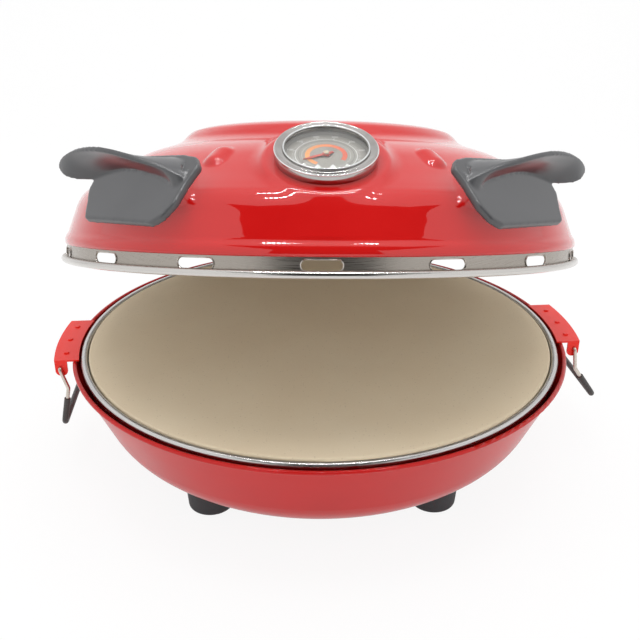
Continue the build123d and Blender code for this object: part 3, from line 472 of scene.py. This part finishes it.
# ------------------------------------------------------------------ lid shell: pressed and painted sheet
DOME = [(160.6, 20.6), (157.8, 28.8), (154.8, 36.6), (151.0, 42.2), (146.0, 45.8), (137.0, 51.6), (127.0, 58.2),
        (117.5, 64.1), (109.5, 67.8), (102.0, 70.3), (95.5, 72.4), (90.2, 75.1), (87.0, 78.4), (83.6, 81.1),
        (77.5, 82.8), (60.0, 85.0), (40.0, 86.9), (20.0, 88.3), (0.0, 88.8)]
BEAD = [(161.2, 10.8), (162.5, 10.85), (163.2, 11.3), (163.5, 12.2), (163.5, 13.8), (163.25, 15.2),
        (162.6, 16.6), (161.8, 17.8), (161.1, 19.1)]
PAD = [(-20, -13), (28, -13), (36, -11), (40.6, -9), (39.8, -4.5), (33.5, 4), (28, 11.5), (-15, 13), (-31, 2),
       (-31, -8)]
SHEET = 0.8
BUMP_ROUND, BUMP_STANDS = 9.0, 2.9      # radius of a small bump, and how far it stands out of the dome


def through(points, steps):
    """Smooth curve through points, centripetal Catmull-Rom."""
    p = np.array(points, float)
    p = np.vstack([2 * p[0] - p[1], p, 2 * p[-1] - p[-2]])
    out = []
    for i in range(1, len(p) - 2):
        t = [0.0]
        for j in range(3):
            t.append(t[-1] + max(np.linalg.norm(p[i + j] - p[i + j - 1]), 1e-6) ** 0.5)
        for s in np.linspace(t[1], t[2], steps, endpoint=False):
            a1 = (t[1] - s) / t[1] * p[i - 1] + s / t[1] * p[i]
            a2 = (t[2] - s) / (t[2] - t[1]) * p[i] + (s - t[1]) / (t[2] - t[1]) * p[i + 1]
            a3 = (t[3] - s) / (t[3] - t[2]) * p[i + 1] + (s - t[2]) / (t[3] - t[2]) * p[i + 2]
            b1 = (t[2] - s) / t[2] * a1 + s / t[2] * a2
            b2 = (t[3] - s) / (t[3] - t[1]) * a2 + (s - t[1]) / (t[3] - t[1]) * a3
            out.append((t[2] - s) / (t[2] - t[1]) * b1 + (s - t[1]) / (t[2] - t[1]) * b2)
    out.append(p[-2])
    return np.array(out)


def soft_max(a, b, k):
    h = np.maximum(k - np.abs(a - b), 0.0) / k
    return np.maximum(a, b) + h * h * k * 0.25


def soft_min(a, b, k):
    return -soft_max(-a, -b, k)


class LidForm:
    """Distance to the pressed lid: dome, thermometer seat, two handle seats, two bumps."""

    def __init__(self):
        self.outline = through(BEAD + DOME, 10)
        self.outline[-1, 0] = 0.0
        self.step = 0.5
        r, z = np.meshgrid(np.arange(0, 196, self.step), np.arange(0, 120, self.step), indexing="ij")
        ring = np.vstack([self.outline, [[0.0, 10.8]]])
        best, inside = np.full(r.shape, 1e9), np.zeros(r.shape, bool)
        for i in range(len(ring)):
            (ra, za), (rb, zb) = ring[i], ring[(i + 1) % len(ring)]
            dr, dz = rb - ra, zb - za
            if not (ra == 0.0 and rb == 0.0):
                t = np.clip(((r - ra) * dr + (z - za) * dz) / max(dr * dr + dz * dz, 1e-12), 0, 1)
                best = np.minimum(best, np.hypot(r - ra - t * dr, z - za - t * dz))
            if za != zb:
                inside ^= ((za > z) != (zb > z)) & (r < ra + (z - za) / (zb - za) * dr)
        self.table = np.where(inside, -best, best)
        a = DIAL_TILT
        self.dial_at = np.array((0.0, -130.0, 65.15))
        self.dial_n = np.array((0.0, -math.sin(a), math.cos(a)))
        self.pad_edges = []
        for i, (u0, v0) in enumerate(PAD):
            u1, v1 = PAD[(i + 1) % len(PAD)]
            n = math.hypot(u1 - u0, v1 - v0)
            self.pad_edges.append((u0, v0, (v1 - v0) / n, -(u1 - u0) / n))
        self.frames = []
        for side in (1, -1):
            flip = np.array((side, 1, 1))
            self.frames.append([np.array(x) * flip for x in (grip_at, grip_u, grip_v, grip_w)])
        self.bumps = []
        for side in (1, -1):
            b = math.radians(27.3) * side
            spot = np.array((123.0 * math.sin(b), -123.0 * math.cos(b), 60.6))
            way = np.array((math.sin(math.radians(32)) * math.sin(b), -math.sin(math.radians(32)) * math.cos(b),
                            math.cos(math.radians(32))))
            climb = np.array((-math.cos(math.radians(32)) * math.sin(b), math.cos(math.radians(32)) * math.cos(b),
                              math.sin(math.radians(32))))
            self.bumps.append((spot - way * (BUMP_ROUND - BUMP_STANDS), climb * 3.6))

    def dome(self, p):
        r = np.hypot(p[:, 0], p[:, 1]) / self.step
        z = p[:, 2] / self.step
        i = np.clip(r.astype(int), 0, self.table.shape[0] - 2)
        j = np.clip(z.astype(int), 0, self.table.shape[1] - 2)
        a, b = r - i, z - j
        t = self.table
        below = t[i, j] * (1 - a) + t[i + 1, j] * a
        above = t[i, j + 1] * (1 - a) + t[i + 1, j + 1] * a
        return below * (1 - b) + above * b

    def seat(self, p):
        q = p - self.dial_at
        up = q @ self.dial_n
        r = np.sqrt(np.maximum((q * q).sum(1) - up * up, 0.0))
        side = ((r - 32.6) * 16.0 + (up + 7.0) * 20.5) / 26.0
        return soft_max(np.maximum(up + 7.0, -(up + 24.0)), side, 1.0)

    def pad(self, p, k):
        at, eu, ev, ew = self.frames[k]
        q = p - at
        u, v, w = q @ eu, q @ ev, q @ ew
        deep = -4.2 - w
        d = None
        for u0, v0, nu, nv in self.pad_edges:
            e = ((u - u0) * nu + (v - v0) * nv) * 0.990 - deep * 0.139
            d = e if d is None else soft_max(d, e, 3.0)
        return np.maximum(soft_max(d, -deep, 2.4), deep - 24.0)

    def raised(self, p):
        d = soft_min(self.pad(p, 0), self.pad(p, 1), 0.5)
        d = np.minimum(d, self.seat(p))
        for bump in self.bumps:
            d = np.minimum(d, self.bump(p, bump))
        return d

    def bump(self, p, bump):
        spot, climb = bump
        t = np.clip((p - spot) @ climb / (climb @ climb), -1.0, 1.0)
        return np.linalg.norm(p - spot - t[:, None] * climb, axis=1) - BUMP_ROUND

    def distance(self, p):
        d = self.dome(p)
        d = soft_min(d, self.seat(p), 1.9)
        for k in (0, 1):
            d = soft_min(d, self.pad(p, k), 3.0)
        for bump in self.bumps:
            d = soft_min(d, self.bump(p, bump), 0.7)
        return d

    def slope(self, p):
        e, base = 0.05, self.distance(p)
        g = np.stack([self.distance(p + e * np.eye(3)[i]) - base for i in range(3)], 1)
        return base, g / np.maximum(np.linalg.norm(g, axis=1), 1e-9)[:, None]


def lid_grid():
    form = LidForm()
    line = form.outline
    run = np.concatenate([[0], np.cumsum(np.linalg.norm(np.diff(line, axis=0), axis=1))])
    bead_end = run[np.argmin(np.abs(line[:, 1] - 20.6))]
    ridge_end = run[np.argmin(np.hypot(line[:, 0] - 84.0, line[:, 1] - 81.0))]
    stops = np.concatenate([np.linspace(0, bead_end, 20, endpoint=False),
                            np.linspace(bead_end, ridge_end, 96, endpoint=False),
                            np.linspace(ridge_end, run[-1] - 3.0, 18)])
    prof = np.stack([np.interp(stops, run, line[:, k]) for k in (0, 1)], 1)
    d = np.gradient(prof, axis=0)
    n = np.stack([d[:, 1], -d[:, 0]], 1)
    n /= np.linalg.norm(n, axis=1)[:, None]
    front = np.radians(np.linspace(-80, 80, 400, endpoint=False))
    back = np.radians(np.linspace(80, 280, 110, endpoint=False))
    turn = np.concatenate([front, back])
    rows, cols = len(prof), len(turn)
    s, c = np.sin(turn)[None, :], np.cos(turn)[None, :]
    p = np.stack([prof[:, 0:1] * s, -prof[:, 0:1] * c, np.repeat(prof[:, 1:2], cols, 1)], 2).reshape(-1, 3)
    nn = np.stack([n[:, 0:1] * s, -n[:, 0:1] * c, np.repeat(n[:, 1:2], cols, 1)], 2).reshape(-1, 3)
    low = np.repeat(prof[:, 1] < 20.0, cols)
    t = np.full(len(p), 22.0)
    for _ in range(60):
        t = np.maximum(t - 0.9 * form.distance(p + nn * t[:, None]), -0.3)
    t[low] = 0.0
    q = p + nn * t[:, None]
    near = np.clip(1.0 - (form.raised(q) - 1.0) / 5.0, 0, 1).reshape(rows, cols)
    near[low.reshape(rows, cols)] = 0.0
    near[-2:] = 0.0
    near = near[..., None] * 0.6
    for _ in range(24):
        g = q.reshape(rows, cols, 3)
        mean = g.copy()
        mean[1:-1] = (g[2:] + g[:-2] + np.roll(g, 1, 1)[1:-1] + np.roll(g, -1, 1)[1:-1]) / 4
        q = (g + (mean - g) * near).reshape(-1, 3)
        move = near.reshape(-1) > 0
        d0, g0 = form.slope(q[move])
        q[move] -= g0 * d0[:, None]
    _, normal = form.slope(q)
    return q.reshape(rows, cols, 3), normal.reshape(rows, cols, 3)


def lid_shell():
    outer, normal = lid_grid()
    rows, cols = outer.shape[:2]
    keep = list(range(0, rows, 3))
    if keep[-1] != rows - 1:
        keep.append(rows - 1)
    inner = (outer - normal * SHEET)[keep]
    inner[0] = outer[0]
    inner[0, :, :2] *= 1.0 - 0.4 / 161.0
    inner[0, :, 2] += 0.3
    vertices = [tuple(v) for v in outer.reshape(-1, 3)] + [tuple(v) for v in inner.reshape(-1, 3)]
    faces = []
    for start, count, turned in ((0, rows, False), (rows * cols, len(keep), True)):
        for i in range(count - 1):
            for j in range(cols):
                k = (j + 1) % cols
                low, high = start + i * cols, start + (i + 1) * cols
                f = (low + j, low + k, high + k, high + j)
                faces.append(f[::-1] if turned else f)
        tip = len(vertices)
        rim = [start + (count - 1) * cols + j for j in range(cols)]
        top = np.mean([vertices[v] for v in rim], axis=0)
        vertices.append((0.0, 0.0, float(top[2]) + 0.02))
        for j in range(cols):
            f = (rim[j], rim[(j + 1) % cols], tip)
            faces.append(f[::-1] if turned else f)
    for j in range(cols):
        k = (j + 1) % cols
        faces.append((rows * cols + j, rows * cols + k, k, j))
    made = piece_from("lid_dome_painted", vertices, faces, lid_enamel, "lid", lid_place, crease=65.0)
    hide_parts("lid_shell")


lid_shell()


# ------------------------------------------------------------------ rolled edges of the skirt and the pan
def roll(name, source_name, radius, level, section, material, body, place):
    """Copies a sheet part without its rolled edge and lays a smoothly turned roll in its place."""
    there = np.array(place.inverted())
    mesh = nodes[source_name].data.copy()
    points = np.empty(len(mesh.vertices) * 3)
    mesh.vertices.foreach_get("co", points)
    points = points.reshape(-1, 3) @ there[:3, :3].T + there[:3, 3]
    off = np.hypot(np.hypot(points[:, 0], points[:, 1]) - radius, points[:, 2] - level)
    shape = bmesh.new()
    shape.from_mesh(mesh)
    shape.verts.ensure_lookup_table()
    gone = []
    for face in shape.faces:
        middle = np.mean([points[v.index] for v in face.verts], axis=0)
        inside = math.hypot(math.hypot(middle[0], middle[1]) - radius, middle[2] - level) < section + 0.02
        if inside and all(off[v.index] < section + 0.03 for v in face.verts):
            gone.append(face)
    bmesh.ops.delete(shape, geom=gone, context="FACES")
    shape.to_mesh(mesh)
    shape.free()
    mesh.materials.clear()
    mesh.materials.append(material)
    sheet = bpy.data.objects.new(name + "_sheet", mesh)
    bpy.context.scene.collection.objects.link(sheet)
    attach(sheet, body)
    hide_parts(source_name)
    round_ring(name, radius, level, section, material, body, place, 512, 24)


roll("lid_lip", "lid_skirt", 163.95, 2.4, 2.05, skirt_steel, "lid", lid_place)
roll("pan_edge", "steel_pan", 157.9, -2.1, 2.2, pan_steel, "base", metres)


# ------------------------------------------------------------------ handles: moulded, soft-edged
GRIP_VOXEL = 0.0007        # size of the even mesh that softens the handle, metres
BLADE_SAG = 1.7            # the moulded blade's free edge hangs this much lower than the drawn one, millimetres


def sag(mesh, side):
    """Lets the blade's free edge down along the plate."""
    flip = np.array((1.0 if side == "left" else -1.0, 1.0, 1.0))
    there = np.array(lid_place.inverted())
    back = np.array(lid_place)
    points = np.empty(len(mesh.vertices) * 3)
    mesh.vertices.foreach_get("co", points)
    points = points.reshape(-1, 3) @ there[:3, :3].T + there[:3, 3]
    w = ((points * flip - np.array(grip_at)) @ np.array(grip_w) - 2.0) / 14.0
    w = np.clip(w, 0.0, 1.0)
    points -= (w * w * (3.0 - 2.0 * w) * BLADE_SAG)[:, None] * (np.array(grip_v) * flip)
    points = points @ back[:3, :3].T + back[:3, 3]
    mesh.vertices.foreach_set("co", points.reshape(-1))
    mesh.update()


def handle(side):
    source = nodes[side + "_handle"].data.copy()
    shape = bmesh.new()
    shape.from_mesh(source)
    bmesh.ops.remove_doubles(shape, verts=shape.verts, dist=5e-6)
    plain = bpy.data.meshes.new(side + "_grip")
    shape.to_mesh(plain)
    shape.free()
    for spare in [a.name for a in plain.attributes if a.name == "custom_normal"]:
        plain.attributes.remove(plain.attributes[spare])
    body = bpy.data.objects.new(side + "_grip", plain)
    bpy.context.scene.collection.objects.link(body)
    voxels = body.modifiers.new("even", "REMESH")
    voxels.mode, voxels.voxel_size, voxels.use_smooth_shade = "VOXEL", GRIP_VOXEL, True
    soften = body.modifiers.new("soften", "SMOOTH")
    soften.factor, soften.iterations = 0.5, 7
    mesh = baked(body, side + "_grip")
    sag(mesh, side)
    mesh.materials.clear()
    mesh.materials.append(handle_plastic)
    made = show(mesh, side + "_grip", "lid", None, 70.0)
    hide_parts(side + "_handle")
    made.visible_glossy = made.visible_shadow = False      # the photo's enamel is light below the handles


for side in ("left", "right"):
    handle(side)


# ------------------------------------------------------------------ geometry nodes
def geo_tree(name, sockets):
    tree = bpy.data.node_groups.new(name, "GeometryNodeTree")
    tree.interface.new_socket("Geometry", in_out="INPUT", socket_type="NodeSocketGeometry")
    ids = {}
    for label, kind, value in sockets:
        socket = tree.interface.new_socket(label, in_out="INPUT", socket_type=kind)
        if value is not None:
            socket.default_value = value
        ids[label] = socket.identifier
    tree.interface.new_socket("Geometry", in_out="OUTPUT", socket_type="NodeSocketGeometry")
    given, out = tree.nodes.new("NodeGroupInput"), tree.nodes.new("NodeGroupOutput")
    return tree, given, out, ids


def ends(tree, out, geometry, material):
    real = node(tree, "GeometryNodeRealizeInstances", {0: geometry})
    painted = node(tree, "GeometryNodeSetMaterial", {"Geometry": real.outputs[0], "Material": material})
    tree.links.new(painted.outputs[0], out.inputs[0])


def ring_tree():
    """Marks set round part of a circle: ticks on the dial."""
    tree, given, out, ids = geo_tree("marks_round_arc", [
        ("Count", "NodeSocketInt", 10), ("Radius", F, 10.0), ("Start", F, 0.0), ("Sweep", F, 1.0),
        ("Length", F, 2.0), ("Width", F, 0.3), ("Height", F, 0.05), ("Lift", F, 0.0),
        ("Material", "NodeSocketMaterial", None)])
    g = given.outputs
    line = node(tree, "GeometryNodeMeshLine", {"Count": g["Count"]})
    index = node(tree, "GeometryNodeInputIndex").outputs[0]
    share = maths(tree, "DIVIDE", index, maths(tree, "MAXIMUM", maths(tree, "SUBTRACT", g["Count"], 1.0), 1.0))
    turn = maths(tree, "ADD", g["Start"], maths(tree, "MULTIPLY", share, g["Sweep"]))
    spot = node(tree, "ShaderNodeCombineXYZ", {
        0: maths(tree, "MULTIPLY", maths(tree, "COSINE", turn), g["Radius"]),
        1: maths(tree, "MULTIPLY", maths(tree, "SINE", turn), g["Radius"]), 2: g["Lift"]})
    placed = node(tree, "GeometryNodeSetPosition", {"Geometry": line.outputs[0], "Position": spot.outputs[0]})
    size = node(tree, "ShaderNodeCombineXYZ", {0: g["Length"], 1: g["Width"], 2: g["Height"]})
    mark = node(tree, "GeometryNodeMeshCube", {"Size": size.outputs[0]})
    way = node(tree, "ShaderNodeCombineXYZ", {2: turn})
    points = node(tree, "GeometryNodeInstanceOnPoints", {"Points": placed.outputs[0], "Instance": mark.outputs[0],
                                                         "Rotation": way.outputs[0]})
    ends(tree, out, points.outputs[0], g["Material"])
    return tree, ids


def rim_tree():
    """Rolled rims of the vent slots, set round the skirt and bent to it."""
    tree, given, out, ids = geo_tree("slot_rims", [
        ("Count", "NodeSocketInt", 16), ("Radius", F, 162.5), ("Start", F, 0.0), ("Height", F, 6.0),
        ("Long", F, 20.0), ("Tall", F, 5.2), ("Round", F, 2.5), ("Wire", F, 0.4),
        ("Material", "NodeSocketMaterial", None)])
    g = given.outputs
    frame_curve = node(tree, "GeometryNodeCurvePrimitiveQuadrilateral", {"Width": g["Long"], "Height": g["Tall"]})
    rounded = node(tree, "GeometryNodeFilletCurve", {0: frame_curve.outputs[0]})
    tree.links.new(g["Round"], rounded.inputs["Radius"])
    try:
        rounded.mode = "POLY"
    except AttributeError:
        rounded.inputs["Mode"].default_value = "Poly"
    rounded.inputs["Count"].default_value = 6
    finer = node(tree, "GeometryNodeSubdivideCurve", {0: rounded.outputs[0], "Cuts": 2})
    wire = node(tree, "GeometryNodeCurvePrimitiveCircle", {"Resolution": 8, "Radius": g["Wire"]})
    rim = node(tree, "GeometryNodeCurveToMesh", {"Curve": finer.outputs[0], "Profile Curve": wire.outputs[0]})
    line = node(tree, "GeometryNodeMeshLine", {"Count": g["Count"]})
    index = node(tree, "GeometryNodeInputIndex").outputs[0]
    share = maths(tree, "DIVIDE", index, g["Count"])
    turn = maths(tree, "ADD", g["Start"], maths(tree, "MULTIPLY", share, math.tau))
    spot = node(tree, "ShaderNodeCombineXYZ", {
        0: maths(tree, "MULTIPLY", maths(tree, "COSINE", turn), g["Radius"]),
        1: maths(tree, "MULTIPLY", maths(tree, "SINE", turn), g["Radius"]), 2: g["Height"]})
    placed = node(tree, "GeometryNodeSetPosition", {"Geometry": line.outputs[0], "Position": spot.outputs[0]})
    way = node(tree, "ShaderNodeCombineXYZ", {0: math.pi / 2, 2: maths(tree, "ADD", turn, math.pi / 2)})
    points = node(tree, "GeometryNodeInstanceOnPoints", {"Points": placed.outputs[0], "Instance": rim.outputs[0],
                                                         "Rotation": way.outputs[0]})
    real = node(tree, "GeometryNodeRealizeInstances", {0: points.outputs[0]})
    here = node(tree, "ShaderNodeSeparateXYZ", {0: node(tree, "GeometryNodeInputPosition").outputs[0]}).outputs
    flat = maths(tree, "SQRT", maths(tree, "ADD", maths(tree, "MULTIPLY", here[0], here[0]),
                                     maths(tree, "MULTIPLY", here[1], here[1])))
    drop = maths(tree, "DIVIDE", maths(tree, "SUBTRACT", maths(tree, "MULTIPLY", flat, flat),
                                       maths(tree, "MULTIPLY", g["Radius"], g["Radius"])),
                 maths(tree, "MULTIPLY", flat, 2.0))
    keep = maths(tree, "LESS_THAN", drop, 0.5)
    past = maths(tree, "MAXIMUM", maths(tree, "SUBTRACT", drop, 0.12), 0.0)
    pull = maths(tree, "MULTIPLY", maths(tree, "MINIMUM", past, 0.3), keep)
    scale = maths(tree, "SUBTRACT", 1.0, maths(tree, "DIVIDE", pull, flat))
    bent = node(tree, "ShaderNodeCombineXYZ", {0: maths(tree, "MULTIPLY", here[0], scale),
                                               1: maths(tree, "MULTIPLY", here[1], scale), 2: here[2]})
    moved = node(tree, "GeometryNodeSetPosition", {"Geometry": real.outputs[0], "Position": bent.outputs[0]})
    painted = node(tree, "GeometryNodeSetMaterial", {"Geometry": moved.outputs[0], "Material": g["Material"]})
    tree.links.new(painted.outputs[0], out.inputs[0])
    return tree, ids


def grown(name, tree, ids, values):
    """Runs a tree on an empty mesh and gives back the plain mesh."""
    seed_mesh = bpy.data.meshes.new(name + "_seed")
    seed = bpy.data.objects.new(name + "_seed", seed_mesh)
    bpy.context.scene.collection.objects.link(seed)
    modifier = seed.modifiers.new(name, "NODES")
    modifier.node_group = tree
    for label, value in values.items():
        modifier[ids[label]] = value
    return baked(seed, name)


marks_tree, marks_ids = ring_tree()
rims_tree, rims_ids = rim_tree()

rims = grown("vent_slot_rims", rims_tree, rims_ids, {
    "Count": 16, "Radius": 162.45, "Start": math.radians(-90.9), "Height": 2.25 + 4.6, "Long": 20.6, "Tall": 5.8,
    "Round": 2.85, "Wire": 0.34, "Material": slot_rim_steel})
show(rims, "vent_slot_rims", "lid", lid_place)

# ------------------------------------------------------------------ dial: rounded edges of the bezel, in brighter chrome than the bezel: real rounded edges with painted highlight lines
round_ring("bezel_inner_highlight_edge", 21.9, -0.45, 0.50, bright_chrome, "lid", dial_place, 192, 12)
round_ring("bezel_outer_highlight_edge", 26.35, -1.45, 0.50, bright_chrome, "lid", dial_place, 192, 12)


# ------------------------------------------------------------------ dial: print and figures
FACE_TOP = -5.76
PRINT = 0.05


def dial_marks(name, material, slot, **values):
    mesh = grown(name, marks_tree, marks_ids, {"Height": PRINT, "Lift": FACE_TOP + 0.02, "Material": material,
                                               **values})
    return show(mesh, name, "lid", dial_place)


def flat_arc(name, r0, r1, start, sweep, material, steps=96, lift=0.03):
    """Thin printed band between two radii."""
    vertices, faces = [], []
    closed = sweep >= 359.9
    count = steps if closed else steps + 1
    for i in range(count):
        a = math.radians(start + sweep * i / steps)
        for r in (r0, r1):
            vertices.append((r * math.cos(a), r * math.sin(a), FACE_TOP + lift))
    for i in range(steps):
        j = (i + 1) % count
        faces.append((2 * i, 2 * i + 1, 2 * j + 1, 2 * j))
    return piece_from(name, vertices, faces, material, "lid", dial_place)


dial_marks("fine_ticks", white_print, "dial_print", Count=55, Radius=17.1, Start=math.radians(-45),
           Sweep=math.radians(270), Length=0.9, Width=0.14)
dial_marks("main_ticks", white_print, "dial_print", Count=10, Radius=17.0, Start=math.radians(-45),
           Sweep=math.radians(270), Length=1.7, Width=0.3)
flat_arc("outer_ring_print", 15.75, 16.1, 0, 360, white_print)
flat_arc("middle_ring_print", 14.3, 14.5, 0, 360, dark_print)
flat_arc("inner_ring_print", 12.5, 12.62, 0, 360, white_print)
flat_arc("edge_ring_print", 20.9, 21.1, 0, 360, dark_print)
flat_arc("heat_band", 8.4, 10.9, -30, 270, heat_band, lift=0.04)


def figures():
    """Plain temperature figures round the dial."""
    for i, text in enumerate(("450", "400", "350", "300", "250", "200", "150", "100", "50", "0")):
        a = math.radians(-45 + 30 * i)
        curve = bpy.data.curves.new("figure_" + text, "FONT")
        curve.body, curve.size = text, 2.3
        curve.align_x, curve.align_y = "CENTER", "CENTER"
        curve.extrude = 0.02
        letter = bpy.data.objects.new("figure_" + text, curve)
        bpy.context.scene.collection.objects.link(letter)
        mesh = baked(letter, "figure_" + text)
        mesh.materials.clear()
        mesh.materials.append(white_print)
        mesh.transform(Matrix.Translation((19.2 * math.cos(a), 19.2 * math.sin(a), FACE_TOP + 0.03)))
        show(mesh, "figure_" + text, "lid", dial_place)


figures()


def drops():
    """Four pale teardrops along the lower edge of the dial."""
    vertices, faces = [], []
    for x, y, tall in ((-11.2, -9.6, 3.0), (-4.4, -11.2, 4.2), (3.2, -11.2, 4.2), (10.4, -9.8, 3.0)):
        start = len(vertices)
        ring = []
        for i in range(24):
            t = math.tau * i / 24
            wide = 0.52 * tall * math.sin(t) * math.sin(t / 2) ** 1.5
            ring.append((x + wide, y + tall * 0.5 * math.cos(t), FACE_TOP + 0.06))
        vertices += ring
        faces.append(tuple(range(start + 23, start - 1, -1)))
    piece_from("drop_marks", vertices, faces, white_print, "lid", dial_place)


drops()


# ------------------------------------------------------------------ floor, backdrop, lights
CAMERA_FLOOR, GLOSSY_FLOOR = 0.90, 0.55        # share of plain white in the floor, as seen and as mirrored
FLOOR_LEVEL = -0.0772
SKY_LIGHT, SKY_SEEN = 0.60, 1.0                # the tent's light on surfaces, and its white as seen


def stage_sheet():
    """Pale floor that rises into a backdrop behind."""
    finish = Finish("studio_paper", Roughness=0.9)
    tree = finish.tree
    finish.tones((0.93, 0.93, 0.93), (0.95, 0.95, 0.95), 3.0)
    output = tree.nodes["Material Output"]
    rays = node(tree, "ShaderNodeLightPath")
    seen = maths(tree, "MAXIMUM", rays.outputs["Is Camera Ray"],
                 maths(tree, "MAXIMUM", rays.outputs["Is Glossy Ray"], rays.outputs["Is Transmission Ray"]))
    glow = node(tree, "ShaderNodeEmission", {"Color": (1, 1, 1, 1), "Strength": 1.0})
    share = maths(tree, "ADD", maths(tree, "MULTIPLY", seen, GLOSSY_FLOOR),
                  maths(tree, "MULTIPLY", rays.outputs["Is Camera Ray"], CAMERA_FLOOR - GLOSSY_FLOOR))
    mix = node(tree, "ShaderNodeMixShader", {0: share})
    tree.links.new(finish.shader.outputs[0], mix.inputs[1])
    tree.links.new(glow.outputs[0], mix.inputs[2])
    tree.links.new(mix.outputs[0], output.inputs["Surface"])
    vertices, faces = [], []
    line = [(-2.2, FLOOR_LEVEL), (-1.0, FLOOR_LEVEL), (0.9, FLOOR_LEVEL)]
    line += [(0.9 + 0.5 * math.sin(a), FLOOR_LEVEL + 0.5 * (1 - math.cos(a)))
             for a in np.linspace(0, math.pi / 2, 14)[1:]]
    line += [(1.4, 3.0)]
    for y, z in line:
        vertices += [(-3.0, y, z), (3.0, y, z)]
    for i in range(len(line) - 1):
        faces.append((2 * i, 2 * i + 1, 2 * i + 3, 2 * i + 2))
    mesh = bpy.data.meshes.new("studio_sweep")
    mesh.from_pydata(vertices, [], faces)
    mesh.materials.append(finish.material)
    mesh.shade_smooth()
    sweep = bpy.data.objects.new("studio_sweep", mesh)
    bpy.context.scene.collection.objects.link(sweep)


def world_light():
    world = bpy.data.worlds.new("studio")
    bpy.context.scene.world = world
    world.use_nodes = True
    tree = world.node_tree
    back = tree.nodes["Background"]
    back.inputs["Color"].default_value = (1, 1, 1, 1)
    rays = node(tree, "ShaderNodeLightPath")
    seen = maths(tree, "MAXIMUM", rays.outputs["Is Camera Ray"],
                 maths(tree, "MAXIMUM", rays.outputs["Is Glossy Ray"], rays.outputs["Is Transmission Ray"]))
    tree.links.new(ramp_range(tree, seen, 0.0, 1.0, SKY_LIGHT, SKY_SEEN), back.inputs["Strength"])


def lamp(name, at, aim, size, power, tint=(1, 1, 1)):
    data = bpy.data.lights.new(name, "AREA")
    data.shape, data.size, data.size_y, data.energy, data.color = "RECTANGLE", size[0], size[1], power, tint
    made = bpy.data.objects.new(name, data)
    bpy.context.scene.collection.objects.link(made)
    made.visible_glossy = False
    turn = (Vector(aim) - Vector(at)).to_track_quat("-Z", "Y")
    made.matrix_world = Matrix.Translation(at) @ turn.to_matrix().to_4x4()
    return made


def card(name, corners, level, strength=0.0):
    """Board or light strip that only shows as a reflection."""
    material = bpy.data.materials.new(name)
    material.use_nodes = True
    tree = material.node_tree
    tree.nodes.clear()
    glow = node(tree, "ShaderNodeEmission", {"Color": (level, level, level, 1), "Strength": max(strength, 1.0)})
    out = node(tree, "ShaderNodeOutputMaterial")
    tree.links.new(glow.outputs[0], out.inputs["Surface"])
    vertices = [v for quad in corners for v in quad]
    faces = [tuple(range(4 * i, 4 * i + 4)) for i in range(len(corners))]
    mesh = bpy.data.meshes.new(name)
    mesh.from_pydata(vertices, [], faces)
    mesh.materials.append(material)
    made = bpy.data.objects.new(name, mesh)
    bpy.context.scene.collection.objects.link(made)
    made.visible_camera = made.visible_diffuse = made.visible_shadow = made.visible_transmission = False


def strip(name, y, z, half, count, strength):
    """Row of small lamps across the top of the tent."""
    quads = []
    pitch = 2 * half / count
    for i in range(count):
        x = -half + pitch * (i + 0.5)
        w, d = pitch * 0.30, 0.008
        quads.append([(x - w, y - d, z), (x - w, y + d, z), (x + w, y + d, z), (x + w, y - d, z)])
    card(name, quads, 1.0, strength)


stage_sheet()
world_light()
KEY, FILL, TOP, FRONT = 2.4, 1.8, 16.0, 2.0
lamp("key", (-0.75, -0.85, 1.15), (0, 0, 0), (1.4, 1.0), KEY)
lamp("fill", (1.05, -0.65, 0.95), (0, 0, 0), (1.2, 1.0), FILL)
lamp("top", (0.0, 0.15, 1.5), (0, 0, 0), (1.6, 1.2), TOP)
lamp("front", (0.0, -1.7, 0.50), (0, 0, 0.02), (2.0, 0.5), FRONT)
card("front_board", [[(-0.62, -0.34, 0.95), (-0.42, -0.50, 0.95), (-0.55, -1.6, 0.95), (-0.62, -1.6, 0.95)],
                     [(-0.42, -0.50, 0.95), (0.60, -0.46, 0.95), (0.75, -1.6, 0.95), (-0.55, -1.6, 0.95)],
                     [(0.60, -0.46, 0.95), (0.84, -0.24, 0.95), (0.90, -1.6, 0.95), (0.75, -1.6, 0.95)],
                     [(-0.62, -1.6, 0.95), (0.70, -1.6, 0.95), (0.70, -1.6, 0.1), (-0.62, -1.6, 0.1)]], 0.025)
strip("strip_front", -0.235, 0.93, 0.30, 22, 90.0)
strip("strip_back", -0.02, 0.93, 0.30, 22, 90.0)

bpy.context.scene.view_settings.view_transform = "Standard"
